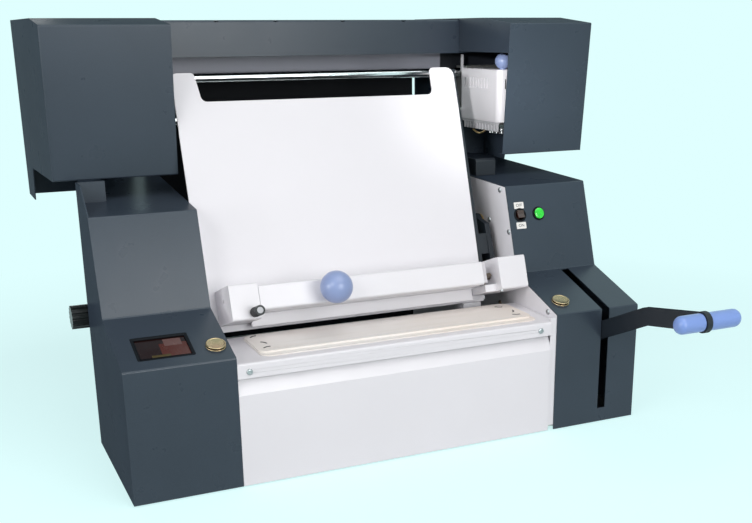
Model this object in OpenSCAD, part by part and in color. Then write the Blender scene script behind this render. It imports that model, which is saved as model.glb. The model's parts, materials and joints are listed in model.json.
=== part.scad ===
// Perfect binding machine for desk use.
// Two lower housings stand beside a white table. A tilted clamp hangs on two pivots
// between them and flips over backwards, so that the book's spine then faces up under
// the roughening head and the glue unit, which slide on rods under the top hoods.
// Millimetres. X runs to the right, Y to the back and Z up. Shapes are drawn from the
// left housing's front corner and then moved, so that the origin lies on the floor
// under the middle of the whole outline.

/* [Housings] */
// Width across both lower housings
machine_w = 720; // [716:1:724]
// Width of the left housing
left_w = 132; // [131:1:133]
// Width of the right housing
right_w = 131; // [130:1:132]
// Depth of the lower housings
depth = 465; // [464:1:470]
// Height of the front faces
front_h = 168.7; // [167:0.1:170]
// Depth of the low slope with the controls
slope_d = 110; // [109:1:112]
// Height at the back of the low slope
slope_h = 205; // [203:1:207]
// Depth of the steep face at its top
face_d = 149; // [147:1:151]
// Height of the steep face at its top
face_h = 325; // [323:1:327]
// Height of the right housing at its back
back_h = 336; // [334:1:338]
// Height of the left housing's cheek under its hood
left_top_h = 358; // [357:0.5:358]
// Rise of the left housing's top towards the back, in degrees
left_rise = 5; // [4.5:0.1:5.2]
// Depth at which the left housing steps in
recess_y = 228; // [226:1:230]
// How far the left housing steps in
recess_x = 35; // [34:1:36]
// Thickness of the folded sheet
sheet = 1.5; // [1.5:0.1:1.6]
// Thickness of the side plates
plate_t = 3; // [3:0.1:3.2]
// Outer radius of a sheet bend
bend_r = 3; // [2.5:0.5:4]
// Height of the lower edge of the sheet metal
skirt_z = 2; // [1:0.5:3]

/* [Base and table] */
// Height of the rubber feet
foot_h = 6; // [5.5:0.5:7]
// Diameter of the rubber feet
foot_d = 32; // [28:1:36]
// Thickness of the base plate
base_t = 3; // [2:0.5:3.5]
// Height of the table
table_h = 160; // [159:0.5:160]
// Depth of the table
table_d = 119; // [117:0.5:119]
// Height of the band along the table's front
band_h = 19; // [17:1:21]
// Thickness of the table and the front panel
table_t = 2; // [1.5:0.5:2]
// Height of the upright part of the front panel
panel_h = 120; // [110:1:125]
// Length of the cover pad
pad_l = 394; // [388:1:398]
// Depth of the cover pad
pad_d = 93; // [90:1:95]
// Thickness of the cover pad
pad_h = 3.5; // [3:0.5:4]

/* [Lever] */
// Diameter of the cross shaft
shaft_d = 20; // [18:1:22]
// Height of the lever bar's section
lever_h = 24; // [22:1:26]
// Thickness of the lever bar
lever_t = 8; // [7:0.5:8]
// Diameter of the grips
grip_d = 23; // [21:0.5:25]
// Length of the right grip
grip_l = 50; // [44:1:54]

/* [Clamp] */
// Depth of the clamp's pivot
pivot_y = 222; // [222:0.1:222.5]
// Height of the clamp's pivot
pivot_z = 262; // [261.8:0.1:262.2]
// Lean of the tray at rest, in degrees
lean = 19.29; // [19.2:0.01:19.4]
// Height of the tray above the spine line
tray_h = 343; // [340:1:343]
// Depth of the notch in the tray's top edge
notch_d = 39; // [30:1:44]
// Diameter of the ball knob
ball_d = 42; // [38:1:42]
// Length of the clamp bar
bar_l = 322.5; // [318:0.5:322.5]

/* [Hoods] */
// Height of the hoods
hood_top = 558; // [557:1:560]
// Depth of the hoods' back
hood_back = 540; // [539:1:542]
// Overhang of each hood beyond the lower housing
overhang = 27; // [27:1:30]
// Width of the left hood
left_hood_w = 160; // [158:1:160]
// Width of the right hood
right_hood_w = 140; // [138:1:141]
// Depth of the bridge cover's front face
bridge_y = 375; // [374:0.5:377]
// Height of the bridge cover's lower edge
bridge_z = 505.5; // [504:0.5:507]

/* [Heads] */
// Diameter of the upper guide rod
rod_d = 14; // [12:1:14]
// Diameter of the lower guide rod
lower_rod_d = 12; // [10:1:12]
// Width of the roughening head's cover
head_w = 100; // [98:1:100]
// Diameter of the roughening cutter
cutter_d = 76; // [70:1:76]
// Diameter of the glue roller
roller_d = 50; // [48:1:50]
// Diameter of the small ball on the roughening head
small_ball_d = 24; // [22:1:24]

/* [Hidden] */
$fn = 48;

slate = "#4f5864";
white = "#ebe9ec";
cream = "#f5f0e6";
steel = "#b9bcc0";
dark = "#26282b";
blue = "#7f92cf";

// Running clearance on a radius
run_gap = 0.05;
// Clearance on a radius where pieces are only held together
seat_gap = 0.02;
bend_flats = 4;
edge_r = 1;
over = 1;

// Places worked out from the driving sizes
inner_l = left_w + plate_t;
inner_r = machine_w - right_w - plate_t;
base_top = foot_h + base_t;
slope_a = atan((slope_h - front_h) / slope_d);
face_a = atan((face_h - slope_h) / (face_d - slope_d));
cheek_a = 37.5;
cheek_d = face_d + (left_top_h - face_h) / tan(cheek_a);
hood_l = -overhang;
hood_r = machine_w + overhang + 20;
grip_y = -203;
grip_z = 199;
// Diameter of the lever bar's eye
eye_d = 27;
shaft_y = 170;
shaft_z = 63;
origin_x = (hood_l + hood_r) / 2;
origin_y = (hood_back + grip_y - eye_d / 2) / 2;

// Spine line of the tray: the point where a book's spine rests
spine_y = 139;
spine_z = 165;
// The pivot, measured along and across the tray
pivot_out = (pivot_y - spine_y) * cos(lean) - (pivot_z - spine_z) * sin(lean);
pivot_up = (pivot_y - spine_y) * sin(lean) + (pivot_z - spine_z) * cos(lean);
tray_l = inner_l + 2;
tray_r = inner_r - 38;
tray_t = 3;
bar_x = inner_l + 56.5;
bar_front = 72.5;
bar_rear = 15;
bar_low = 15.5;
bar_high = 47.5;

// Guide rods and what rides on them
rod_y = 405;
rod_z = 475;
lower_rod_z = 415;
head_x = 638.8;
head_y0 = 266;
head_y1 = 387;
head_z0 = 404;
head_z1 = 482.5;
tank_x = 0;
beam_y0 = 430;
beam_y1 = 460;
beam_z0 = 481;
beam_z1 = 540;
post_w = 40;
left_post_x = 60;
right_post_x = 620;
end_plate_t = 4;
end_l = hood_l + sheet;
end_r = hood_r - sheet;

// Controls
button_y = 29.5;
left_button_x = 118;
right_button_x = 609;
button_d = 22;
start_x = 635;
rocker_x = 604;
switch_z = 284.3;
window_x = 24;
window_y = 19;
window_w = 65;
window_d = 45;
knob_y = 250;
knob_z = 177;

// Unit vector along v
function unit(v) = v / norm(v);

// A list from its last item to its first
function reversed(v) = [for (i = [len(v) - 1 : -1 : 0]) v[i]];

// Arc of radius r that rounds the corner b between a and c
function bend(a, b, c, r) =
    let (u = unit(a - b))
    let (v = unit(c - b))
    let (half = acos(u * v) / 2)
    let (o = b + unit(u + v) * (r / sin(half)))
    let (p = b + u * (r / tan(half)) - o)
    let (q = b + v * (r / tan(half)) - o)
    let (start = atan2(p.y, p.x))
    let (turn = (atan2(q.y, q.x) - start + 540) % 360 - 180)
    [for (i = [0 : bend_flats])
        o + r * [cos(start + turn * i / bend_flats), sin(start + turn * i / bend_flats)]];

// Closed outline whose corner i has the radius radii[i]
function rounded_each(pts, radii) =
    let (n = len(pts))
    [for (i = [0 : n - 1])
        each bend(pts[(i + n - 1) % n], pts[i], pts[(i + 1) % n], radii[i])];

// Closed outline with every corner rounded alike
function rounded(pts, r) = rounded_each(pts, [for (p = pts) r]);

// Open path whose inner corners are rounded
function bent(pts, r) =
    let (n = len(pts))
    [pts[0], for (i = [1 : n - 2]) each bend(pts[i - 1], pts[i], pts[i + 1], r), pts[n - 1]];

// Normal to the right of the step from a to b
function right_of(a, b) = let (d = unit(b - a)) [d.y, -d.x];

// Path moved by t to its right
function shifted(pts, t) =
    let (n = len(pts))
    [for (i = [0 : n - 1])
        let (m = right_of(pts[max(i - 1, 0)], pts[max(i, 1)]))
        let (k = right_of(pts[min(i, n - 2)], pts[min(i + 1, n - 1)]))
        pts[i] + (m + k) * (t / (1 + m * k))];

// Outline of a sheet of thickness t that lies to the right of a path
function sheet_along(path, t) = concat(path, reversed(shifted(path, t)));

// Outline of a bar of width w that is centred on a path
function bar_along(path, w) = concat(shifted(path, w / 2), reversed(shifted(path, -w / 2)));

// Corners of a rectangle
function corners(x0, y0, x1, y1) = [[x0, y0], [x1, y0], [x1, y1], [x0, y1]];

// Height of the low slope and depth of the steep face
function slope_z(y) = front_h + y * tan(slope_a);
function face_y(z) = slope_d + (z - slope_h) / tan(face_a);

// Height of the left and the right housing's top at the depth y
function left_top_z(y) = face_h + (y - face_d) * tan(left_rise);
function right_top_z(y) = face_h + (y - face_d) * (back_h - face_h) / (depth - face_d);

// Extrudes an outline drawn in Y and Z from x0 to x1
module along_x(x0, x1) {
    translate([x0, 0, 0])
        rotate([90, 0, 90])
            linear_extrude(x1 - x0)
                children();
}

// Extrudes an outline drawn in X and Z from y0 to y1
module along_y(y0, y1) {
    translate([0, y1, 0])
        rotate([90, 0, 0])
            linear_extrude(y1 - y0)
                children();
}

// Extrudes an outline drawn in X and Y from z0 to z1
module along_z(z0, z1) {
    translate([0, 0, z0])
        linear_extrude(z1 - z0)
            children();
}

// Box between two corners
module box(a, b) {
    translate(a)
        cube(b - a);
}

// Cylinder along X
module rod_x(x0, x1, y, z, d) {
    translate([x0, y, z])
        rotate([0, 90, 0])
            cylinder(d = d, h = x1 - x0);
}

// Cylinder along Y
module rod_y(y0, y1, x, z, d) {
    translate([x, y1, z])
        rotate([90, 0, 0])
            cylinder(d = d, h = y1 - y0);
}

// Cylinder along Z
module rod_z(z0, z1, x, y, d) {
    translate([x, y, z0])
        cylinder(d = d, h = z1 - z0);
}

// Frame on the low slope, with Z out of the surface
module on_slope(x, y) {
    translate([x, y, slope_z(y)])
        rotate([slope_a, 0, 0])
            children();
}

// Frame on the steep face, with Z out of the surface
module on_face(x, z) {
    translate([x, face_y(z), z])
        rotate([face_a, 0, 0])
            children();
}

// Frame of the clamp, with Z up the tray and -Y out of its front
module on_tray() {
    translate([0, spine_y, spine_z])
        rotate([-lean, 0, 0])
            children();
}

// Moves the machine's own origin to the floor under the middle of its outline
module placed() {
    translate([-origin_x, -origin_y, 0])
        children();
}

// ---------------------------------------------------------------- base and plates

module base_plate() {
    gap = 1.5;
    l = sheet + gap;
    r = machine_w - sheet - gap;
    f = table_t + edge_r;
    b = beam_y1;
    step_x = recess_x + sheet + gap;
    step_y = recess_y - sheet - gap;
    slot_w = 6;
    slot_l = 90;
    slots = 6;
    slot_pitch = 22;
    slot_x = 300;
    slot_y = 230;
    color("silver")
    difference() {
        along_z(foot_h, base_top)
            polygon([[l, f], [r, f], [r, b], [step_x, b], [step_x, step_y], [l, step_y]]);
        for (i = [0 : slots - 1])
            box([slot_x + i * slot_pitch, slot_y, foot_h - over],
                [slot_x + i * slot_pitch + slot_w, slot_y + slot_l, base_top + over]);
    }
}

foot_x = [34, machine_w - 34, machine_w - 34, 72];
foot_y = [36, 36, 428, 428];

module feet() {
    chamfer = 2;
    color(dark)
    for (i = [0 : len(foot_x) - 1])
        translate([foot_x[i], foot_y[i], 0])
            rotate_extrude()
                polygon([[0, 0], [foot_d / 2 - chamfer, 0], [foot_d / 2, foot_h],
                    [0, foot_h]]);
}

// Front and top of a lower housing, whose top ends at the given point
function housing_path(foot_z, last) =
    bent([[0, foot_z], [0, front_h], [slope_d, slope_h], [face_d, face_h], last], bend_r);

// Outline of a side plate just inside the housing's sheet, which ends back_z high
function plate_outline(back_z) =
    let (edge = shifted(housing_path(base_top, [depth, back_z]), sheet))
    concat([for (i = [0 : len(edge) - 2]) edge[i]],
        [[depth, back_z - sheet - seat_gap], [depth, base_top]]);

bush_d = 18;
shaft_bush_d = shaft_d + 8;
screw_d = 4;

module left_side_plate() {
    color(white)
    difference() {
        along_x(left_w, inner_l)
            polygon(plate_outline(left_top_z(depth)));
        rod_x(left_w - over, inner_l + over, pivot_y, pivot_z, bush_d);
        rod_x(left_w - over, inner_l + over, shaft_y, shaft_z, shaft_bush_d);
    }
}

// Width, depth and height of the right plate's folded front edge
flange_w = 9;
flange_y = sheet + 2;
flange_z = front_h - 4;

// Screws on the right plate's inner face, as depth and height
plate_screws = [[163.8, 318], [193.4, 270.4], [135.3, 261], [24.2, 167.5]];

module right_side_plate() {
    hole_y = 197;
    hole_z = 214;
    hole_d = 7;
    hole_l = 6;
    color(white)
    difference() {
        union() {
            along_x(inner_r, inner_r + plate_t)
                polygon(plate_outline(right_top_z(depth)));
            box([inner_r - flange_w, sheet, base_top], [inner_r + plate_t, flange_y,
                flange_z]);
        }
        rod_x(inner_r - over, inner_r + plate_t + over, pivot_y, pivot_z, bush_d);
        rod_x(inner_r - over, inner_r + plate_t + over, shaft_y, shaft_z, shaft_bush_d);
        rod_x(inner_r - over, inner_r + plate_t + over, hole_y, hole_z - hole_l / 2, hole_d);
        rod_x(inner_r - over, inner_r + plate_t + over, hole_y, hole_z + hole_l / 2, hole_d);
        box([inner_r - over, hole_y - hole_d / 2, hole_z - hole_l / 2],
            [inner_r + plate_t + over, hole_y + hole_d / 2, hole_z + hole_l / 2]);
        for (p = plate_screws)
            rod_x(inner_r - over, inner_r + plate_t + over, p[0], p[1], screw_d + 2 * seat_gap);
    }
}

// ---------------------------------------------------------------- lower housings

post_gap = 2;

// Cut in a housing's top for the post of the upper frame, where the top is at most z high
module post_cut(x, z) {
    box([x - post_gap, beam_y0 - post_gap, z - 8], [x + post_w + post_gap, depth, z + 3]);
}

housing_back = depth - sheet - 0.2;

module left_housing() {
    cheek = bent([[0, skirt_z], [0, front_h], [slope_d, slope_h], [face_d, face_h],
        [cheek_d, left_top_h], [recess_y, left_top_h]], bend_r);
    front = housing_path(skirt_z, [recess_y, left_top_z(recess_y)]);
    rear = [for (y = [recess_y - sheet, housing_back]) [y, left_top_z(y)]];
    color(slate)
    difference() {
        union() {
            along_x(0, sheet)
                polygon(concat(cheek, [[recess_y, skirt_z]]));
            along_x(0, inner_l)
                polygon(sheet_along(front, sheet));
            along_x(recess_x, inner_l)
                polygon(sheet_along(rear, sheet));
            box([0, recess_y - sheet, skirt_z], [recess_x + sheet, recess_y, left_top_h]);
            box([recess_x, recess_y - sheet, skirt_z], [recess_x + sheet, housing_back,
                left_top_h]);
        }
        on_slope(window_x, window_y)
            box([0, 0, -2 * sheet], [window_w, window_d, over]);
        on_slope(left_button_x, button_y)
            translate([0, 0, -2 * sheet])
                cylinder(d = button_d, h = 2 * sheet + over);
        rod_x(recess_x - over, recess_x + sheet + over, knob_y, knob_z, 14);
        post_cut(left_post_x, left_top_z(beam_y1));
    }
}

slot_l = 659;
slot_r = 672;

module right_housing() {
    front = housing_path(skirt_z, [housing_back, right_top_z(housing_back)]);
    slot_low = 22;
    slot_back = slope_d - 1;
    color(slate)
    difference() {
        union() {
            along_x(machine_w - sheet, machine_w)
                polygon(concat(front, [[housing_back, skirt_z]]));
            along_x(inner_r, machine_w)
                polygon(sheet_along(front, sheet));
        }
        box([slot_l, -over, slot_low], [slot_r, slot_back, face_h - 50]);
        on_slope(right_button_x, button_y)
            translate([0, 0, -2 * sheet])
                cylinder(d = button_d, h = 2 * sheet + over);
        on_face(start_x, switch_z)
            translate([0, 0, -2 * sheet])
                cylinder(d = start_d, h = 2 * sheet + over);
        on_face(rocker_x, switch_z)
            translate([0, 0, -2 * sheet])
                cylinder(d = rocker_d, h = 2 * sheet + over);
        post_cut(right_post_x, right_top_z(beam_y1));
    }
}

louvre_l = 50;
louvre_h = 4;
louvre_pitch = 12;
louvres = 7;
cover_screw_in = 8;

// Screw places on a rear cover between x0 and x1, up to the height z1
function cover_screws(x0, x1, z1) =
    [for (x = [x0 + cover_screw_in, x1 - cover_screw_in], z = [24, z1 - 24]) [x, z]];

// Rear cover with louvres, up to the height z1
module rear_cover(x0, x1, z1, vent_z) {
    mid = (x0 + x1) / 2;
    difference() {
        box([x0, depth - sheet, skirt_z], [x1, depth, z1]);
        for (i = [0 : louvres - 1])
            box([mid - louvre_l / 2, depth - sheet - over, vent_z + i * louvre_pitch],
                [mid + louvre_l / 2, depth + over, vent_z + i * louvre_pitch + louvre_h]);
        for (p = cover_screws(x0, x1, z1))
            rod_y(depth - sheet - over, depth + over, p[0], p[1], screw_d + 2 * seat_gap);
    }
}

module left_rear_cover() {
    color(slate)
    rear_cover(recess_x, left_w, left_top_z(depth - sheet), 190);
}

inlet_x = 671;
inlet_z = 60;
inlet_w = 28;
inlet_h = 22;

module right_rear_cover() {
    color(slate)
    difference() {
        rear_cover(machine_w - right_w, machine_w, back_h, 170);
        box([inlet_x, depth - sheet - over, inlet_z],
            [inlet_x + inlet_w, depth + over, inlet_z + inlet_h]);
    }
}

module rear_wall() {
    slot_w = 6;
    slot_h = 60;
    slots = 9;
    slot_pitch = 30;
    slot_z = 200;
    mid = (inner_l + inner_r) / 2;
    color(slate)
    difference() {
        box([inner_l, depth - plate_t, base_top], [inner_r, depth, beam_z0 - 1]);
        for (i = [0 : slots - 1])
            box([mid + (i - (slots - 1) / 2) * slot_pitch - slot_w / 2, depth - plate_t - over,
                slot_z],
                [mid + (i - (slots - 1) / 2) * slot_pitch + slot_w / 2, depth + over,
                slot_z + slot_h]);
    }
}

// ---------------------------------------------------------------- table and front

module front_panel() {
    lean_in = 8;
    path = bent([[0, skirt_z], [0, panel_h], [lean_in, table_h - band_h - 1],
        [lean_in + 12, table_h - band_h - 1]], bend_r);
    color(white)
    along_x(inner_l, inner_r - flange_w)
        polygon(sheet_along(path, table_t));
}

// Screws on the table's front band, as X and Z
band_screws = [[150, 149.3], [560, 149.5]];

module table_top() {
    low = table_h - band_h;
    path = bent([[0, low], [0, table_h], [table_d, table_h], [table_d, low]], bend_r);
    color(white)
    difference() {
        along_x(inner_l, inner_r)
            polygon(sheet_along(path, table_t));
        for (p = band_screws)
            rod_y(-over, table_t + over, p[0], p[1], screw_d + 2 * seat_gap);
        box([inner_r - flange_w, -over, low - over],
            [inner_r + over, flange_y + seat_gap, table_h + over]);
    }
}

pad_x = 172;
pad_y = 16;

module cover_pad() {
    r = 12;
    base_h = 1.2;
    front_step = 13;
    side_step = 1;
    color(cream)
    union() {
        along_z(table_h, table_h + base_h)
            polygon(rounded(corners(pad_x, pad_y, pad_x + pad_l, pad_y + pad_d), r));
        along_z(table_h + base_h, table_h + pad_h)
            polygon(rounded(corners(pad_x + side_step, pad_y + front_step,
                pad_x + pad_l - side_step, pad_y + pad_d - side_step), r));
    }
}

// Pan-head screw with its head above Z = 0 and its shank below
module screw(shank) {
    head_d = 8;
    head_h = 2;
    rotate_extrude()
        polygon([[0, -shank], [screw_d / 2, -shank], [screw_d / 2, 0], [head_d / 2, 0],
            [head_d / 2, head_h / 2], [head_d / 2 - 1, head_h], [0, head_h]]);
}

module screws() {
    right_cover_x = machine_w - right_w;
    color(steel) {
        for (p = band_screws)
            translate([p[0], 0, p[1]])
                rotate([90, 0, 0])
                    screw(table_t);
        for (p = plate_screws)
            translate([inner_r, p[0], p[1]])
                rotate([0, -90, 0])
                    screw(plate_t);
        for (p = concat(cover_screws(recess_x, left_w, left_top_z(depth - sheet)),
            cover_screws(right_cover_x, machine_w, back_h)))
            translate([p[0], depth, p[1]])
                rotate([-90, 0, 0])
                    screw(sheet);
    }
}

// ---------------------------------------------------------------- upper frame and hoods

module upper_frame() {
    wall = 3;
    plate_y0 = rod_y - 20;
    plate_z0 = lower_rod_z - 18;
    pad_w = 40;
    pads = [190, 500];
    color("dimgray")
    difference() {
        union() {
            difference() {
                box([end_l + end_plate_t, beam_y0, beam_z0], [end_r - end_plate_t, beam_y1, beam_z1]);
                box([end_l + end_plate_t + wall, beam_y0 + wall, beam_z0 + wall],
                    [end_r - end_plate_t - wall, beam_y1 - wall, beam_z1 - wall]);
            }
            for (x = [left_post_x, right_post_x])
                difference() {
                    box([x, beam_y0, base_top], [x + post_w, beam_y1, beam_z0]);
                    box([x + wall, beam_y0 + wall, base_top - over],
                        [x + post_w - wall, beam_y1 - wall, beam_z0 - wall]);
                }
            for (x = [end_l, end_r - end_plate_t])
                box([x, plate_y0, plate_z0], [x + end_plate_t, beam_y1, hood_top - sheet]);
            for (x = pads)
                box([x, beam_y0, beam_z1 - wall], [x + pad_w, beam_y1, hood_top - 2 - sheet]);
        }
        rod_x(end_l - over, end_r + over, rod_y, rod_z, rod_d + 2 * seat_gap);
        rod_x(end_l - over, end_r + over, rod_y, lower_rod_z, lower_rod_d + 2 * seat_gap);
    }
}

module guide_rods() {
    color(steel) {
        rod_x(end_l, end_r, rod_y, rod_z, rod_d);
        rod_x(end_l, end_r, rod_y, lower_rod_z, lower_rod_d);
    }
}

hood_low_y = 230;
hood_low_z = 360;
hood_edge_y = 214;
hood_edge_z = hood_top - 8.5;
hood_crest_y = 300;

// Hood between x0 and x1. Its outer panel starts at outer_x and the short panel above the
// heads' way starts at inner_x.
module hood(x0, x1, outer_x, inner_x) {
    leg_z = 305;
    lip = 10;
    way_z = 508;
    way_y = hood_low_y + (hood_edge_y - hood_low_y) * (way_z - hood_low_z)
        / (hood_edge_z - hood_low_z);
    path = bent([[hood_low_y + lip, hood_low_z - 0.3], [hood_low_y, hood_low_z],
        [hood_edge_y, hood_edge_z], [hood_crest_y, hood_top], [hood_back, hood_top],
        [hood_back, leg_z]], bend_r - 1);
    outline = concat(bent([[hood_low_y, hood_low_z], [hood_edge_y, hood_edge_z],
        [hood_crest_y, hood_top], [hood_back, hood_top], [hood_back, leg_z]], bend_r - 1),
        [[470, leg_z], [456, hood_low_z - 7]]);
    inner = concat(bent([[way_y, way_z], [hood_edge_y, hood_edge_z], [hood_crest_y, hood_top],
        [bridge_y - 1, hood_top]], bend_r - 1), [[bridge_y - 1, way_z]]);
    union() {
        along_x(outer_x, outer_x + sheet)
            polygon(outline);
        along_x(inner_x, inner_x + sheet)
            polygon(inner);
        along_x(x0, x1)
            polygon(sheet_along(path, sheet));
    }
}

module left_hood() {
    color(slate)
    hood(hood_l, hood_l + left_hood_w, hood_l, hood_l + left_hood_w - sheet);
}

module right_hood() {
    color(slate)
    hood(hood_r - right_hood_w, hood_r, hood_r - sheet, hood_r - right_hood_w);
}

module bridge_cover() {
    top = hood_top - 2;
    gap = 0.5;
    dips = [235.4, 324.2, 430.4, 530.8];
    dip_d = 11;
    path = bent([[bridge_y, bridge_z], [bridge_y, top], [hood_back - 3, top],
        [hood_back - 3, bridge_z]], bend_r);
    color(slate)
    difference() {
        along_x(end_l + end_plate_t + gap, end_r - end_plate_t - gap)
            polygon(sheet_along(path, sheet));
        for (x = dips)
            rod_y(bridge_y - over, bridge_y + sheet + over, x, top + 2.5, dip_d);
    }
}

// ---------------------------------------------------------------- controls

start_d = 16;
rocker_d = 17;
cap_d = 18.6;
bezel_d = 25;
disc_d = 24.4;
window_t = 2;

module display_window() {
    lap = 3;
    color("#3a1c18")
    on_slope(window_x, window_y)
        box([-lap, -lap, -sheet - window_t], [window_w + lap, window_d + lap, -sheet]);
}

module display_board() {
    lap = 3;
    board_t = 1.6;
    stand = 5;
    stud_d = 5;
    stud_out = 6.5;
    low = -sheet - window_t - stand;
    color("darkgreen")
    on_slope(window_x, window_y)
        union() {
            box([-stud_out - lap, -lap, low], [window_w + stud_out + lap, window_d + lap,
                low + board_t]);
            box([4, 4, low], [window_w - 4, window_d - 4, low + board_t + 2]);
            for (x = [-stud_out, window_w + stud_out], y = [0, window_d])
                translate([x, y, low])
                    cylinder(d = stud_d, h = -sheet - low);
        }
}

// Fixed part of a push button: bezel above the sheet, barrel and nut below
module barrel(hole_d, out_d, bore_d, bezel_h, barrel_l) {
    nut_h = 4;
    difference() {
        union() {
            rotate_extrude()
                polygon([[0, 0], [out_d / 2, 0], [out_d / 2, bezel_h / 2],
                    [out_d / 2 - 0.5, bezel_h], [0, bezel_h]]);
            translate([0, 0, -barrel_l])
                cylinder(d = hole_d - 2 * seat_gap, h = barrel_l);
            translate([0, 0, -sheet - nut_h])
                cylinder(d = out_d, h = nut_h);
        }
        translate([0, 0, -barrel_l + 2])
            cylinder(d = bore_d, h = barrel_l + bezel_h);
    }
}

bezel_h = 1;
barrel_l = 24;
button_travel = 1.5;
rocker_w = 11;
// Depth of the rocker's pin under the sheet, and its tilt at rest
rocker_pin = 4;
rocker_tilt = 8;

module button_barrels() {
    color(steel) {
        on_slope(left_button_x, button_y)
            barrel(button_d, bezel_d, cap_d + 0.4, bezel_h, barrel_l);
        on_slope(right_button_x, button_y)
            barrel(button_d, bezel_d, cap_d + 0.4, bezel_h, barrel_l);
        on_face(start_x, switch_z)
            barrel(start_d, 20, 12.4, bezel_h, barrel_l);
        on_face(rocker_x, switch_z)
            difference() {
                union() {
                    rotate_extrude()
                        polygon([[0, 0], [10, 0], [10, bezel_h / 2], [9.2, bezel_h], [0, bezel_h]]);
                    translate([0, 0, -barrel_l])
                        cylinder(d = rocker_d - 2 * seat_gap, h = barrel_l);
                }
                translate([-rocker_w / 2, -7, -barrel_l + 2])
                    cube([rocker_w, 14, barrel_l + bezel_h]);
                translate([-rocker_w / 2 - 1.5, 0, -rocker_pin])
                    rotate([0, 90, 0])
                        cylinder(d = 3, h = rocker_w + 3);
            }
    }
}

// Cap of a round push button: a stem of diameter d in the barrel and a disc above the bezel
module cap(d, disc_d) {
    low = -12;
    under = bezel_h + button_travel + 0.2;
    high = under + 1.5;
    rotate_extrude()
        polygon([[0, low], [d / 2, low], [d / 2, under], [disc_d / 2, under],
            [disc_d / 2, high - 0.7], [disc_d / 2 - 0.7, high], [0, high]]);
}

module left_button() {
    color(steel)
    on_slope(left_button_x, button_y)
        cap(cap_d, disc_d);
}

module right_button() {
    color(steel)
    on_slope(right_button_x, button_y)
        cap(cap_d, disc_d);
}

module start_button() {
    color("limegreen")
    on_face(start_x, switch_z)
        cap(12, 15.5);
}

module power_rocker() {
    w = rocker_w - 0.6;
    color("#3b2320")
    on_face(rocker_x, switch_z)
        union() {
            translate([0, 0, -rocker_pin])
                rotate([-rocker_tilt, 0, 0])
                    translate([0, 0, rocker_pin])
                        along_x(-w / 2, w / 2)
                            polygon([[-6, 1], [-5.4, -1.5], [-2.4, -7], [2.4, -7],
                                [5.4, -1.5], [6, 1], [5.6, 4.2], [0, 3.2], [-5.6, 4.2]]);
            translate([-rocker_w / 2 - 1.2, 0, -rocker_pin])
                rotate([0, 90, 0])
                    cylinder(d = 3 - 2 * run_gap, h = rocker_w + 2.4);
        }
}

// ---------------------------------------------------------------- inside the housings

// Flanged bush in a plate between x0 and x1, with its flange towards x_flange
module bush(x0, x1, x_flange, y, z, out_d, bore) {
    flange_t = 2;
    difference() {
        union() {
            rod_x(x0, x1, y, z, out_d - 2 * seat_gap);
            rod_x(x_flange, x_flange + flange_t, y, z, out_d + 8);
        }
        rod_x(x0 - 9, x1 + 9, y, z, bore + 2 * run_gap);
    }
}

pin_d = 12;
cam_shaft_d = 8;

module bushes() {
    out = 3;
    color("#b5893c") {
        bush(left_w - out, inner_l, inner_l, pivot_y, pivot_z, bush_d, pin_d);
        bush(inner_r, inner_r + plate_t + out, inner_r - 2, pivot_y, pivot_z, bush_d, pin_d);
        bush(left_w - out, inner_l, inner_l, shaft_y, shaft_z, shaft_bush_d, shaft_d);
        bush(inner_r, inner_r + plate_t + out, inner_r - 2, shaft_y, shaft_z, shaft_bush_d,
            shaft_d);
        bush(recess_x, recess_x + sheet + out, recess_x - 2, knob_y, knob_z, 14, cam_shaft_d);
    }
}

module power_supply() {
    x0 = 598;
    y0 = 262;
    foot = 3;
    color(steel)
    union() {
        box([x0, y0, base_top + foot], [x0 + 98, y0 + 150, base_top + foot + 46]);
        for (x = [x0 + 8, x0 + 80], y = [y0 + 10, y0 + 130])
            box([x, y, base_top], [x + 10, y + 10, base_top + foot]);
    }
}

module control_board() {
    board_t = 1.6;
    stand = 6;
    x1 = left_w - stand;
    color("darkgreen")
    union() {
        box([x1 - board_t, 250, 60], [x1, 410, 200]);
        box([x1 - board_t - 14, 270, 80], [x1 - board_t, 300, 110]);
        box([x1 - board_t - 9, 320, 90], [x1 - board_t, 380, 150]);
        for (y = [256, 404], z = [66, 194])
            rod_x(x1, left_w, y, z, 6);
    }
}

module power_inlet() {
    flange = 4;
    body_d = 28;
    socket_d = 15;
    wall = 3;
    color(dark)
    difference() {
        union() {
            box([inlet_x + seat_gap, depth - body_d, inlet_z + seat_gap],
                [inlet_x + inlet_w - seat_gap, depth, inlet_z + inlet_h - seat_gap]);
            box([inlet_x - flange, depth, inlet_z - flange],
                [inlet_x + inlet_w + flange, depth + 2, inlet_z + inlet_h + flange]);
        }
        box([inlet_x + wall, depth - socket_d, inlet_z + wall],
            [inlet_x + inlet_w - wall, depth + 3, inlet_z + inlet_h - wall]);
    }
}

module dust_box() {
    x0 = machine_w - right_w + 1;
    x1 = 624;
    y0 = 245;
    y1 = 400;
    z1 = 354;
    up = seat_gap;
    color(slate)
    along_x(x0, x1)
        polygon([[y0, right_top_z(y0) + up], [y1, right_top_z(y1) + up], [y1, z1],
            [y0 + 3, z1], [y0, z1 - 3]]);
}

// ---------------------------------------------------------------- lever and nip platen

bar_x0 = 660;
hub_d = 40;
grip_rod_d = 10;

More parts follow.
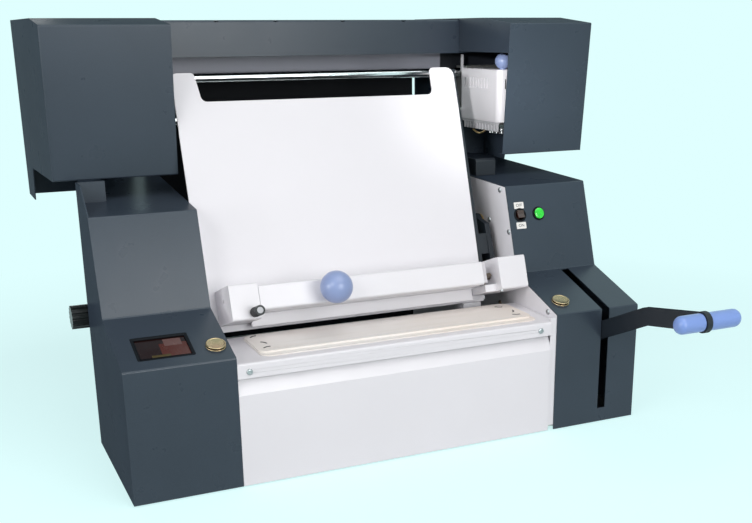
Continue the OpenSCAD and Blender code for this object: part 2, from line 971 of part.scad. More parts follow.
module lever_bar() {
    r = 18;
    path = bent([[shaft_y, shaft_z], [-7, 142], [-94, 180.5], [grip_y, grip_z]], r);
    color(slate)
    difference() {
        union() {
            along_x(bar_x0, bar_x0 + lever_t)
                polygon(bar_along(path, lever_h));
            rod_x(bar_x0 - 4, bar_x0 + lever_t, shaft_y, shaft_z, hub_d);
            rod_x(bar_x0, bar_x0 + lever_t, grip_y, grip_z, eye_d);
        }
        rod_x(bar_x0 - 5, bar_x0 + lever_t + over, shaft_y, shaft_z, shaft_d + 2 * seat_gap);
        rod_x(bar_x0 - over, bar_x0 + lever_t + over, grip_y, grip_z, grip_rod_d + 2 * seat_gap);
    }
}

left_grip_l = 38;

module grip_rod() {
    color(steel)
    rod_x(bar_x0 - left_grip_l + 4, bar_x0 + lever_t + grip_l - 4, grip_y, grip_z, grip_rod_d);
}

// Grip with a round end at x = l and a bore for the rod from x = 0
module grip(l) {
    r = grip_d / 2;
    end_r = 9;
    arc = [for (i = [0 : 6]) [l - end_r + end_r * sin(15 * i), r - end_r + end_r * cos(15 * i)]];
    rotate([0, 90, 0])
        rotate([0, 0, 90])
            difference() {
                rotate_extrude()
                    polygon(concat([[0, 0]], [[r - 1, 0], [r, 1]],
                        [for (p = arc) [p.y, p.x]], [[0, l]]));
                translate([0, 0, -over])
                    cylinder(d = grip_rod_d + 2 * seat_gap, h = l - 4 + over);
            }
}

module lever_grips() {
    color(blue) {
        translate([bar_x0 + lever_t, grip_y, grip_z])
            grip(grip_l);
        translate([bar_x0, grip_y, grip_z])
            mirror([1, 0, 0])
                grip(left_grip_l);
    }
}

module cross_shaft() {
    color(steel)
    rod_x(left_w - 8, bar_x0 + lever_t + 4, shaft_y, shaft_z, shaft_d);
}

cam_x = [162, 462];
cam_t = 8;
cam_d = 44;
cam_off = 13.75;

module shaft_cams() {
    color(steel)
    for (x = cam_x)
        difference() {
            rod_x(x, x + cam_t, shaft_y + cam_off, shaft_z, cam_d);
            rod_x(x - over, x + cam_t + over, shaft_y, shaft_z, shaft_d + 2 * seat_gap);
        }
}

platen_y0 = 122;
platen_y1 = 150;
platen_top = 152;
guide_x = [205, 430];
guide_d = 10;

module nip_platen() {
    plate_h = 4;
    sleeve_d = 18;
    sleeve_low = 120;
    follower_low = shaft_z + cam_d / 2 + 0.8;
    mid = (platen_y0 + platen_y1) / 2;
    under = platen_top - plate_h;
    color(steel)
    difference() {
        union() {
            box([150, platen_y0, under], [485, platen_y1, platen_top]);
            for (x = guide_x)
                rod_z(sleeve_low, under + 1, x, mid, sleeve_d);
            for (x = cam_x)
                along_x(x + 1, x + cam_t - 1)
                    polygon([[158, follower_low], [200, follower_low], [200, follower_low + 5],
                        [164, follower_low + 5], [164, under], [140, under], [140, under - 5],
                        [158, under - 5]]);
        }
        for (x = guide_x)
            rod_z(sleeve_low - over, under - 1, x, mid, guide_d + 2 * run_gap);
    }
}

stop_rail_y0 = 128;
stop_rail_y1 = 142;
stop_rail_z0 = 137;
stop_rail_z1 = 145;

module platen_guides() {
    rail_z0 = 95;
    rail_z1 = 101;
    mid = (platen_y0 + platen_y1) / 2;
    color("dimgray")
    union() {
        box([inner_l, 120, rail_z0], [inner_r, 152, rail_z1]);
        for (x = guide_x)
            rod_z(rail_z1 - over, 138, x, mid, guide_d);
        box([488, stop_rail_y0, stop_rail_z0], [inner_r, stop_rail_y1, stop_rail_z1]);
        box([487, stop_rail_y0, rail_z1 - over], [489.5, stop_rail_y1, stop_rail_z1]);
    }
}

module side_stop() {
    x0 = 504.5;
    x1 = 533;
    low = 131;
    gap = 0.15;
    color("lightgray")
    difference() {
        along_x(x0, x1)
            polygon(rounded_each([[120, low], [150, low], [150, 160.3], [125, 160.3],
                [125, 166.5], [120, 166.5]], [2, 2, 2, 1, 1.5, 1.5]));
        box([x0 - over, stop_rail_y0 - gap, low - over],
            [x1 + over, stop_rail_y1 + gap, stop_rail_z1 + gap]);
    }
}

// ---------------------------------------------------------------- clamp

module tray_plate() {
    top = tray_h;
    low = -3;
    l = tray_l;
    r = tray_r + 5;
    notch_l = inner_l + 39;
    notch_r = r - 39;
    outline = rounded_each([[l, low], [r - 5, low], [r, top - 60], [r, top], [notch_r, top],
        [notch_r, top - notch_d], [notch_l, top - notch_d], [notch_l - 6, top], [l, top]],
        [2, 2, 20, 12, 6, 8, 8, 6, 8]);
    color(white)
    on_tray()
        along_y(0, tray_t)
            polygon(outline);
}

arm_t = 8;
left_arm_x = 143;
right_arm_x = 569;

module clamp_arms() {
    boss_d = 28;
    cross_z0 = 66;
    cross_z1 = 96;
    rail_out = 9;
    far = pivot_out;
    arm = [[tray_t, 8], [tray_t, cross_z1 + 14], [far - 8, pivot_up + 12], [far + 8, pivot_up + 8],
        [far + 10, pivot_up - 10], [tray_t + 12, 8]];
    front_arm = concat([[0, 8]], [[0, 50]], [for (i = [1 : len(arm) - 1]) arm[i]]);
    color("dimgray")
    on_tray()
        difference() {
            union() {
                along_x(left_arm_x, left_arm_x + arm_t)
                    polygon(arm);
                along_x(right_arm_x, right_arm_x + arm_t)
                    polygon(front_arm);
                rod_x(inner_l + 3, left_arm_x + arm_t, pivot_out, pivot_up, boss_d);
                rod_x(right_arm_x, inner_r - 3, pivot_out, pivot_up, boss_d);
                box([left_arm_x, tray_t, cross_z0], [right_arm_x + arm_t, tray_t + 12, cross_z1]);
                box([tray_r - 8, tray_t, 40], [tray_r + 9, rail_out, tray_h - 2]);
                box([tray_l + 2, tray_t, 40], [tray_l + 14, rail_out, tray_h - 2]);
            }
            rod_x(inner_l, left_arm_x + arm_t + over, pivot_out, pivot_up, pin_d + 2 * seat_gap);
            rod_x(right_arm_x - over, inner_r, pivot_out, pivot_up, pin_d + 2 * seat_gap);
        }
}

module pivot_pins() {
    color(steel)
    on_tray() {
        rod_x(left_w - 5, left_arm_x + arm_t, pivot_out, pivot_up, pin_d);
        rod_x(right_arm_x, inner_r + plate_t + 5, pivot_out, pivot_up, pin_d);
    }
}

block_low = 5.2;
block_high = 51.4;
left_block_x = 153;
left_block_w = 38;
right_block_x = 540;
right_block_w = 43;
// Length of the ledge that the spring stands on
ledge_l = 18;
index_x = 182;
index_z = 13.8;
index_pin_d = 6;
index_pin_l = 18;

module clamp_blocks() {
    r = 3;
    hole_y = -40;
    hole_z = 34;
    color(white)
    on_tray() {
        difference() {
            along_x(left_block_x, left_block_x + left_block_w)
                polygon(rounded(corners(-bar_front, block_low, 0, block_high), r));
            rod_y(-bar_front - over, -bar_front + index_pin_l, index_x, index_z,
                index_pin_d + 2 * run_gap);
            rod_x(left_block_x - over, left_block_x + 6, hole_y, hole_z, 6);
        }
        union() {
            along_x(right_block_x, right_block_x + right_block_w)
                polygon(rounded(corners(-bar_front, block_low, 0, block_high), r));
            box([right_block_x - ledge_l, -58, block_low], [right_block_x + 1, -8,
                block_low + 10]);
        }
    }
}

module rear_jaw() {
    color(steel)
    on_tray()
        box([tray_l + 16, tray_t, 0], [tray_r + 4, tray_t + 7, 30]);
}

bar_guide_d = 8;
bar_guide_x = [232, 474];
bar_guide_z = 34;

module bar_guides() {
    color(steel)
    on_tray()
        for (x = bar_guide_x)
            rod_y(-50, 0, x, bar_guide_z, bar_guide_d);
}

spring_r = 4;
spring_wire = 1.2;
spring_turns = 6;
spring_l = 20;
spring_rings = 8;
spring_sides = 6;

// Middle of the spring's wire after the given part of its length
function spring_point(t) =
    let (a = 360 * spring_turns * t)
    [spring_r * cos(a), spring_r * sin(a), spring_wire / 2 + (spring_l - spring_wire) * t];

// Ring of points round the wire at the given part of its length
function spring_ring(t) =
    let (a = 360 * spring_turns * t)
    [for (k = [0 : spring_sides - 1])
        let (b = 360 * k / spring_sides)
        spring_point(t) + spring_wire / 2 * [cos(a) * cos(b), sin(a) * cos(b), sin(b)]];

// The wire's turns lie one pitch apart, less its own thickness
echo("least gap between the spring's turns",
    (spring_l - spring_wire) / spring_turns - spring_wire);

module clamp_spring() {
    n = spring_rings * spring_turns;
    s = spring_sides;
    points = [for (i = [0 : n]) each spring_ring(i / n)];
    walls = [for (i = [0 : n - 1], k = [0 : s - 1], half = [0, 1])
        let (a = i * s + k)
        let (b = i * s + (k + 1) % s)
        half == 0 ? [a, b, b + s] : [a, b + s, a + s]];
    ends = [for (k = [1 : s - 2], half = [0, 1])
        half == 0 ? [0, k + 1, k] : [n * s, n * s + k, n * s + k + 1]];
    color(steel)
    on_tray()
        translate([right_block_x - 10, -36, block_low + 10.05])
            polyhedron(points, concat(walls, ends));
}

module clamp_bar() {
    r = 3;
    rear_r = 0.8;
    reach = 68;
    end = bar_x + bar_l;
    wing = [[end - 3, -bar_front + 8], [end - 3, -bar_front + 1], [end + 13, -bar_front + 15],
        [end + 12, -bar_front + 16.5]];
    color(white)
    on_tray()
        difference() {
            union() {
                along_x(bar_x, end)
                    polygon(rounded_each(corners(-bar_front, bar_low, -bar_rear, bar_high),
                        [r, rear_r, rear_r, r]));
                along_z(bar_low + 3, bar_high - 1)
                    polygon(wing);
            }
            for (x = bar_guide_x)
                rod_y(-reach, -bar_rear + over, x, bar_guide_z, bar_guide_d + 2 * run_gap);
        }
}

module front_jaw() {
    color(white)
    on_tray()
        box([bar_x, -bar_rear - 3.9, -1.2], [right_block_x - ledge_l - 1.5, -bar_rear + 0.1,
            bar_low]);
}

ball_x = 286;
ball_out = 100;
ball_z = 32;

module ball_knob() {
    neck_d = 14;
    flat = ball_d / 2 - 1.5;
    color(blue)
    on_tray()
        union() {
            intersection() {
                translate([ball_x, -ball_out, ball_z])
                    sphere(d = ball_d);
                box([ball_x - ball_d, -ball_out - ball_d, ball_z - ball_d],
                    [ball_x + ball_d, -ball_out + flat, ball_z + ball_d]);
            }
            rod_y(-ball_out, -bar_front, ball_x, ball_z, neck_d);
        }
}

module index_knob() {
    d = 13;
    flute_d = 1.6;
    flutes = 20;
    color(dark)
    on_tray()
        union() {
            difference() {
                rod_y(-bar_front - 27, -bar_front - 0.5, index_x, index_z, d);
                for (i = [0 : flutes - 1])
                    rod_y(-bar_front - 24, -bar_front + over,
                        index_x + d / 2 * cos(i * 360 / flutes),
                        index_z + d / 2 * sin(i * 360 / flutes), flute_d);
            }
            rod_y(-bar_front - 1, -bar_front + index_pin_l - 1, index_x, index_z, index_pin_d);
        }
}

// ---------------------------------------------------------------- roughening head

head_plate_t = 4;
spindle_y = 304;
spindle_x = head_x + head_w / 2;
spindle_d = 10;

module roughener_cover() {
    wall = 2;
    corner_r = 10;
    x1 = head_x + head_w;
    side_vents = 9;
    side_pitch = 9.1;
    side_y = 300;
    front_vents = 2;
    front_pitch = 6;
    vent_w = 3;
    vent_h = 14.5;
    vent_z = head_z1 - 28.5;
    inner_r = corner_r - wall;
    color(white)
    difference() {
        along_z(head_z0, head_z1)
            polygon(rounded_each(corners(head_x, head_y0, x1, head_y1),
                [corner_r, 6, 1, 1]));
        along_z(head_z0 - over, head_z1 - wall)
            polygon(rounded_each(corners(head_x + wall, head_y0 + wall, x1 - wall,
                head_y1 - wall), [inner_r, 4, 1, 1]));
        for (i = [0 : side_vents - 1])
            translate([0, side_y + i * side_pitch, 0])
                box([head_x - over, 0, vent_z], [head_x + wall + over, vent_w, vent_z + vent_h]);
        for (i = [0 : front_vents - 1])
            translate([head_x + corner_r + 1 + i * front_pitch, head_y0, 0])
                box([0, -over, vent_z], [vent_w, wall + over, vent_z + vent_h]);
    }
}

// Block that slides on both rods, between x0 and x1
module slider(x0, x1) {
    difference() {
        box([x0, head_y1, head_z0 - head_plate_t], [x1, rod_y + 16, beam_z0 + 4]);
        rod_x(x0 - over, x1 + over, rod_y, rod_z, rod_d + 2 * run_gap);
        rod_x(x0 - over, x1 + over, rod_y, lower_rod_z, lower_rod_d + 2 * run_gap);
    }
}

module roughener_carriage() {
    gap = 4;
    color(steel)
    difference() {
        union() {
            slider(head_x + 8, head_x + head_w - 8);
            box([head_x + gap, head_y0 + gap, head_z0 - head_plate_t],
                [head_x + head_w - gap, head_y1, head_z0]);
        }
        rod_z(head_z0 - head_plate_t - over, head_z0 + over, spindle_x, spindle_y, 16);
    }
}

module comb_guard() {
    teeth = 12;
    tooth_w = 5;
    tooth_pitch = 9.4;
    tooth_low = head_z0 - 14;
    thick = 3;
    y0 = head_y0 + 4;
    color("lightgray")
    union() {
        box([head_x + 1, y0, head_z0 - head_plate_t], [head_x + 4, head_y1 - 2, head_z0]);
        for (i = [0 : teeth - 1])
            box([head_x + 1, y0 + i * tooth_pitch, tooth_low],
                [head_x + 1 + thick, y0 + i * tooth_pitch + tooth_w, head_z0 - head_plate_t + 1]);
    }
}

module roughener_knob() {
    cx = 656;
    cy = 285;
    stem_d = 10;
    low = head_z1 + 1.5;
    cz = head_z1 + small_ball_d / 2;
    color(blue)
    union() {
        intersection() {
            translate([cx, cy, cz])
                sphere(d = small_ball_d);
            box([cx - small_ball_d, cy - small_ball_d, low],
                [cx + small_ball_d, cy + small_ball_d, cz + small_ball_d]);
        }
        rod_z(head_z1, cz, cx, cy, stem_d);
    }
}

motor_d = 56;

module cutter_motor() {
    motor_h = 52;
    color("dimgray")
    difference() {
        rod_z(head_z0, head_z0 + motor_h, spindle_x, spindle_y, motor_d);
        rod_z(head_z0 - over, head_z0 + motor_h - 6, spindle_x, spindle_y,
            spindle_d + 2 * run_gap);
    }
}

module cutter() {
    low = 385;
    disc_h = 8;
    teeth = 24;
    tooth_d = 5;
    hub_d = 26;
    color(steel)
    union() {
        difference() {
            rod_z(low, low + disc_h, spindle_x, spindle_y, cutter_d);
            for (i = [0 : teeth - 1])
                rod_z(low - over, low + disc_h + over,
                    spindle_x + cutter_d / 2 * cos(i * 360 / teeth),
                    spindle_y + cutter_d / 2 * sin(i * 360 / teeth), tooth_d);
        }
        rod_z(low + disc_h - over, head_z0 - head_plate_t - 1.5, spindle_x, spindle_y, hub_d);
        rod_z(low + disc_h, head_z0 + 40, spindle_x, spindle_y, spindle_d);
    }
}

// ---------------------------------------------------------------- glue unit

tank_w = 100;
tank_y0 = 272;
roller_x = tank_x + tank_w / 2;
roller_z = 410.5;
roller_l = 84;
journal_d = 8;

module glue_tank() {
    wall = 4;
    low = 398;
    gap = 3;
    floor_z = roller_z + 8;
    mid = (tank_y0 + head_y1) / 2;
    color(steel)
    difference() {
        box([tank_x, tank_y0, low], [tank_x + tank_w, head_y1, head_z1 - 4]);
        box([tank_x + wall, tank_y0 + wall, floor_z],
            [tank_x + tank_w - wall, head_y1 - wall, head_z1]);
        rod_y(mid - roller_l / 2 - gap, mid + roller_l / 2 + gap, roller_x, roller_z,
            roller_d + 2 * gap);
        rod_y(tank_y0 - over, head_y1 + over, roller_x, roller_z, journal_d + 2 * run_gap);
    }
}

module glue_roller() {
    mid = (tank_y0 + head_y1) / 2;
    color("silver")
    union() {
        rod_y(mid - roller_l / 2, mid + roller_l / 2, roller_x, roller_z, roller_d);
        rod_y(tank_y0 + 1, head_y1 - 1, roller_x, roller_z, journal_d);
    }
}

module glue_carriage() {
    color(steel)
    slider(tank_x + 8, tank_x + tank_w - 8);
}

// ---------------------------------------------------------------- side adjuster

adjuster_d = 32;
adjuster_x0 = -20;
adjuster_x1 = 10;

module adjuster_knob() {
    flutes = 14;
    flute_d = 4;
    color(dark)
    difference() {
        union() {
            rod_x(adjuster_x0, adjuster_x1, knob_y, knob_z, adjuster_d);
            rod_x(adjuster_x1, recess_x - 4, knob_y, knob_z, 18);
        }
        for (i = [0 : flutes - 1])
            rod_x(adjuster_x0 - over, adjuster_x1 - 4,
                knob_y + adjuster_d / 2 * cos(i * 360 / flutes),
                knob_z + adjuster_d / 2 * sin(i * 360 / flutes), flute_d);
        rod_x(adjuster_x0 + 6, recess_x, knob_y, knob_z, cam_shaft_d + 2 * seat_gap);
    }
}

module adjuster_shaft() {
    cam_off = 5;
    cam_d = 26;
    cam_x0 = 45;
    cam_t = 6;
    color(steel)
    union() {
        rod_x(adjuster_x0 + 6, cam_x0 + cam_t + 4, knob_y, knob_z, cam_shaft_d);
        rod_x(cam_x0, cam_x0 + cam_t, knob_y + cam_off, knob_z, cam_d);
    }
}

placed() base_plate();
placed() feet();
placed() left_side_plate();
placed() right_side_plate();
placed() left_housing();
placed() right_housing();
placed() left_rear_cover();
placed() right_rear_cover();
placed() front_panel();
placed() table_top();
placed() cover_pad();
placed() screws();
placed() rear_wall();
placed() bridge_cover();
placed() upper_frame();
placed() left_hood();
placed() right_hood();
placed() guide_rods();
placed() display_window();
placed() display_board();
placed() button_barrels();
placed() bushes();
placed() power_supply();
placed() control_board();
placed() power_inlet();
placed() platen_guides();
placed() dust_box();
placed() lever_bar();
placed() grip_rod();
placed() lever_grips();
placed() cross_shaft();
placed() shaft_cams();
placed() nip_platen();
placed() tray_plate();
placed() clamp_arms();
placed() clamp_blocks();
placed() pivot_pins();
placed() rear_jaw();
placed() bar_guides();
placed() clamp_spring();
placed() clamp_bar();
placed() front_jaw();
placed() ball_knob();
placed() index_knob();
placed() roughener_cover();
placed() roughener_carriage();
placed() comb_guard();
placed() roughener_knob();
placed() cutter_motor();
placed() cutter();
placed() glue_tank();
placed() glue_carriage();
placed() glue_roller();
placed() side_stop();
placed() adjuster_knob();
placed() adjuster_shaft();
placed() left_button();
placed() right_button();
placed() start_button();
placed() power_rocker();
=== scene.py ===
"""Looks of the perfect binding machine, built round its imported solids. Metres, +Z up."""

import json
import math

import bmesh
import bpy
from mathutils import Matrix, Vector


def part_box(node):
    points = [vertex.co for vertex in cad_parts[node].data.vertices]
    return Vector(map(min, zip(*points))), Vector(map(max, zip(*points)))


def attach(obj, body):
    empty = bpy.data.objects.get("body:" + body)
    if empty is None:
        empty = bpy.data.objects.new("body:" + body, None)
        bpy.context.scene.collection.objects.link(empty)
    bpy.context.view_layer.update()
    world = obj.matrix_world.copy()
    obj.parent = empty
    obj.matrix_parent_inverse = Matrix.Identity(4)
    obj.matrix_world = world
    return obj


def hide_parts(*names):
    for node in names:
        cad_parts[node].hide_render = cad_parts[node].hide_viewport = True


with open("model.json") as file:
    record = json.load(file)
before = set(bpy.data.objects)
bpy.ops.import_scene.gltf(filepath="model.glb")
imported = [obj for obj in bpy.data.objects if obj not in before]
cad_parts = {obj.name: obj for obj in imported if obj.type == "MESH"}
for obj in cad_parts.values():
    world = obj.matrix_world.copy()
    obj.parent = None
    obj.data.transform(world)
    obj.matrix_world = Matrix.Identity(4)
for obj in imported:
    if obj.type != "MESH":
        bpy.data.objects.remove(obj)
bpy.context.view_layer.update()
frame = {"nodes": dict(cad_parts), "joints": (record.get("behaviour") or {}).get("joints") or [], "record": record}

MM = 0.001
NODES = frame["nodes"]
JOINTS = {joint["name"]: joint for joint in frame["joints"]}
BODY_OF = {
    node: body
    for body, nodes in frame["record"]["behaviour"]["bodies"].items()
    for node in nodes
}

# ------------------------------------------------------------------ places

# The left housing's front corner, from which the machine's places are measured
home = Vector((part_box("left_housing")[0].x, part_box("left_housing")[0].y, 0))

X = Vector((1, 0, 0))
Y = Vector((0, 1, 0))
Z = Vector((0, 0, 1))


def at(x, y, z):
    """Point in millimetres from the left housing's front corner, in the row frame."""
    return home + Vector((x, y, z)) * MM


def middle(node):
    """Middle of a CAD node's box."""
    low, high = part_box(node)
    return (low + high) / 2


def axes(origin, out, up):
    """Matrix of a frame at origin whose Z points along out and whose Y leans along up."""
    z = Vector(out).normalized()
    x = Vector(up).cross(z).normalized()
    y = z.cross(x)
    columns = Matrix((x, y, z)).transposed().to_4x4()
    return Matrix.Translation(origin) @ columns


slope_out = -Vector(JOINTS["left_press"]["axis"])
face_out = -Vector(JOINTS["start_press"]["axis"])
tray_out = Vector(JOINTS["bar_slide"]["axis"])
tray_up = X.cross(-tray_out)
spine = at(0, 139, 165)


def on_tray(x, y, z):
    """Point in the clamp's own frame, in millimetres: Y goes into the tray, Z up along it."""
    return spine + (X * x - tray_out * y + tray_up * z) * MM


# ------------------------------------------------------------------ camera

CAMERA_AT = (-186.87, -1178.06, 540.64)
YAW = 24.93
PITCH = 17.63
ROLL = -0.357
LENS = 50.54
SHIFT = (-0.0429, 0.1385)

camera_data = bpy.data.cameras.new("camera")
camera = bpy.data.objects.new("camera", camera_data)
bpy.context.scene.collection.objects.link(camera)
bpy.context.scene.camera = camera
camera_data.lens = LENS
camera_data.sensor_width = 36
camera_data.shift_x, camera_data.shift_y = SHIFT
camera.matrix_world = (
    Matrix.Translation(at(*CAMERA_AT))
    @ Matrix.Rotation(-math.radians(YAW), 4, "Z")
    @ Matrix.Rotation(math.radians(90 - PITCH), 4, "X")
    @ Matrix.Rotation(math.radians(ROLL), 4, "Z")
)

# ------------------------------------------------------------------ materials


def linear(*rgb):
    """Linear colour of 0 to 255 screen values."""
    def one(c):
        c /= 255
        return c / 12.92 if c <= 0.04045 else ((c + 0.055) / 1.055) ** 2.4
    return tuple(one(c) for c in rgb) + (1,)


class Nodes:
    """Shader nodes of one material, with the principled shader ready."""

    def __init__(self, name):
        self.material = bpy.data.materials.new(name)
        self.material.use_nodes = True
        self.tree = self.material.node_tree
        self.shader = self.tree.nodes["Principled BSDF"]
        self.place = self.add("ShaderNodeTexCoord").outputs["Object"]

    def add(self, kind, **values):
        node = self.tree.nodes.new(kind)
        for key, value in values.items():
            setattr(node, key, value)
        return node

    def link(self, a, b):
        self.tree.links.new(a, b)

    def scaled(self, scale):
        """Object coordinates stretched by a vector."""
        node = self.add("ShaderNodeMapping")
        node.inputs["Scale"].default_value = scale
        self.link(self.place, node.inputs["Vector"])
        return node.outputs["Vector"]

    def noise(self, scale, detail=3.0, stretch=None):
        """Noise from 0 to 1 over the object's own coordinates."""
        node = self.add("ShaderNodeTexNoise")
        node.inputs["Scale"].default_value = scale
        node.inputs["Detail"].default_value = detail
        self.link(self.scaled(stretch) if stretch else self.place, node.inputs["Vector"])
        return node.outputs["Fac"]

    def spread(self, value, low, high, out_low, out_high):
        """Value remapped from low..high to out_low..out_high."""
        node = self.add("ShaderNodeMapRange")
        node.inputs["From Min"].default_value = low
        node.inputs["From Max"].default_value = high
        node.inputs["To Min"].default_value = out_low
        node.inputs["To Max"].default_value = out_high
        self.link(value, node.inputs["Value"])
        return node.outputs["Result"]

    def mix(self, factor, a, b):
        """Colour between a and b."""
        node = self.add("ShaderNodeMix", data_type="RGBA")
        for socket, value in ((0, factor), (6, a), (7, b)):
            if isinstance(value, (tuple, float)):
                node.inputs[socket].default_value = value
            else:
                self.link(value, node.inputs[socket])
        return node.outputs[2]

    def colour(self, value):
        if isinstance(value, tuple):
            self.shader.inputs["Base Color"].default_value = value
        else:
            self.link(value, self.shader.inputs["Base Color"])

    def rough(self, value):
        if isinstance(value, float):
            self.shader.inputs["Roughness"].default_value = value
        else:
            self.link(value, self.shader.inputs["Roughness"])

    def bump(self, height, strength, distance):
        node = self.add("ShaderNodeBump")
        node.inputs["Strength"].default_value = strength
        node.inputs["Distance"].default_value = distance
        self.link(height, node.inputs["Height"])
        self.link(node.outputs["Normal"], self.shader.inputs["Normal"])

    def set(self, **values):
        for key, value in values.items():
            self.shader.inputs[key.replace("_", " ")].default_value = value


def shade(colour, factor):
    """Colour made darker or lighter."""
    return tuple(min(1.0, c * factor) for c in colour[:3]) + (1,)


# Powder coat: scale and depth of its orange peel, and how its sheen fades edge-on, from
# FADE_START to FADE_END of the layer weight, down to FADED
POWDER_GRAIN = 900.0
POWDER_DEPTH = 0.12 * MM
FADE_START = 0.5
FADE_END = 0.8
FADED = 0.0004


def powder_coat(name, colour, roughness=0.28, level=0.32):
    """Sprayed powder coat: fine orange peel, faint mottling and pale specks.

    Its texture hides most of the mirror image where the surface is seen edge-on.
    """
    n = Nodes(name)
    mottle = n.noise(9.0, 4.0)
    speck = n.noise(POWDER_GRAIN, 2.0)
    base = n.mix(n.spread(mottle, 0.3, 0.7, 0.0, 1.0), shade(colour, 0.93), shade(colour, 1.06))
    n.colour(n.mix(n.spread(speck, 0.35, 0.7, 0.0, 0.22), base, shade(colour, 1.5)))
    n.rough(n.spread(n.noise(25.0, 5.0), 0.3, 0.7, roughness - 0.01, roughness + 0.015))
    n.bump(speck, 0.35, POWDER_DEPTH)
    edge_on = n.add("ShaderNodeLayerWeight").outputs["Facing"]
    sheen = n.spread(edge_on, FADE_START, FADE_END, level, FADED)
    n.link(sheen, n.shader.inputs["Specular IOR Level"])
    return n.material


def paint(name, colour, roughness=0.35):
    """Smooth paint with a trace of orange peel."""
    n = Nodes(name)
    n.colour(n.mix(n.spread(n.noise(6.0, 5.0), 0.3, 0.7, 0.0, 1.0), shade(colour, 0.975), colour))
    n.rough(n.spread(n.noise(30.0, 4.0), 0.3, 0.7, roughness - 0.05, roughness + 0.07))
    n.bump(n.noise(420.0, 2.0), 0.12, 0.0001)
    return n.material


def brushed(name, colour, roughness=0.33, stretch=(4.0, 400.0, 400.0)):
    """Metal with a grain along one axis."""
    n = Nodes(name)
    grain = n.noise(3.0, 6.0, stretch)
    n.colour(n.mix(n.spread(grain, 0.3, 0.7, 0.0, 1.0), shade(colour, 0.82), shade(colour, 1.05)))
    n.rough(n.spread(grain, 0.3, 0.7, roughness - 0.08, roughness + 0.1))
    n.bump(grain, 0.2, 0.00005)
    n.set(Metallic=1.0)
    return n.material


def polished(name, colour, roughness=0.12):
    """Ground and polished steel with faint smears."""
    n = Nodes(name)
    n.colour(n.mix(n.spread(n.noise(14.0, 5.0), 0.3, 0.7, 0.0, 1.0), shade(colour, 0.9), colour))
    n.rough(n.spread(n.noise(60.0, 4.0), 0.3, 0.7, roughness - 0.04, roughness + 0.1))
    n.set(Metallic=1.0)
    return n.material


def moulded(name, colour, roughness=0.4, grain=600.0, depth=0.00008, coat=0.0):
    """Moulded plastic with a fine grain."""
    n = Nodes(name)
    n.colour(n.mix(n.spread(n.noise(20.0, 4.0), 0.3, 0.7, 0.0, 1.0), shade(colour, 0.94), colour))
    n.rough(n.spread(n.noise(80.0, 3.0), 0.3, 0.7, roughness - 0.05, roughness + 0.08))
    n.bump(n.noise(grain, 2.0), 0.2, depth)
    n.set(Coat_Weight=coat)
    return n.material


SLATE = linear(50, 59, 70)
WHITE = linear(228, 226, 230)
CREAM = linear(236, 232, 228)

slate = powder_coat("slate_powder_coat", SLATE)
slate_dark = powder_coat("dark_powder_coat", linear(26, 31, 38), 0.45)
white = paint("white_paint", WHITE)
light_grey = moulded("light_grey_plastic", linear(186, 186, 190), 0.45)
inner_dark = powder_coat("inner_dark_paint", linear(18, 20, 24), 0.6, 0.1)
zinc = brushed("zinc_steel", (0.6, 0.6, 0.58, 1), 0.38)
chrome = polished("chrome_rod", (0.8, 0.8, 0.81, 1), 0.1)
steel = polished("bright_steel", (0.62, 0.62, 0.63, 1), 0.25)
aluminium = brushed("satin_aluminium", (0.72, 0.72, 0.73, 1), 0.35)
screw_steel = polished("screw_steel", (0.42, 0.42, 0.43, 1), 0.3)
bronze = polished("turned_bronze", (0.62, 0.4, 0.17, 1), 0.28)
blue = moulded("blue_plastic", linear(140, 156, 198), 0.32, 300.0, 0.00003, 0.2)
grip_blue = moulded("blue_grip", linear(122, 150, 212), 0.34, 300.0, 0.00003, 0.2)
black = moulded("black_plastic", linear(24, 24, 27), 0.5)
gloss_black = moulded("gloss_black_plastic", linear(9, 9, 11), 0.34, 300.0, 0.00002)
rubber = moulded("black_rubber", linear(22, 22, 22), 0.75)
label = moulded("bare_label", linear(236, 234, 230), 0.55)
ink = moulded("label_ink", linear(40, 36, 38), 0.5)
rocker_brown = moulded("rocker_brown", linear(58, 34, 28), 0.25, 500.0, 0.00002, 0.4)
dark_glass = moulded("dark_red_glass", linear(32, 13, 11), 0.1, 60.0, 0.00001, 0.4)
red_mask = moulded("red_brown_mask", linear(76, 28, 19), 0.22, 60.0, 0.00001)
screen = moulded("unlit_screen", linear(98, 70, 67), 0.22, 60.0, 0.00001)
header = moulded("olive_header", linear(72, 60, 26), 0.22, 60.0, 0.00001)
coil_brown = polished("browned_spring_wire", (0.2, 0.15, 0.12, 1), 0.35)


def frame_light_and_shade_paint():
    """Grey frame paint: pale between the hoods as painted light, and dark beyond them as painted shade."""
    n = Nodes("frame_paint")
    split = n.add("ShaderNodeSeparateXYZ")
    n.link(n.place, split.inputs[0])
    across = split.outputs["X"]
    left = n.spread(across, GAP_LEFT - GAP_BLEND, GAP_LEFT + GAP_BLEND, 0.0, 1.0)
    right = n.spread(across, GAP_RIGHT - GAP_BLEND, GAP_RIGHT + GAP_BLEND, 1.0, 0.0)
    between = n.add("ShaderNodeMath", operation="MULTIPLY")
    n.link(left, between.inputs[0])
    n.link(right, between.inputs[1])
    grain = n.spread(n.noise(9.0, 4.0), 0.3, 0.7, 0.0, 1.0)
    # Painted light on the beam's middle and painted shade on its ends, not two paints
    pale = n.mix(grain, linear(152, 154, 166), linear(162, 164, 176))
    dark = n.mix(grain, linear(26, 29, 35), linear(31, 34, 40))
    n.colour(n.mix(between.outputs[0], dark, pale))
    n.rough(n.spread(grain, 0.0, 1.0, 0.4, 0.46))
    n.set(Specular_IOR_Level=0.35)
    return n.material


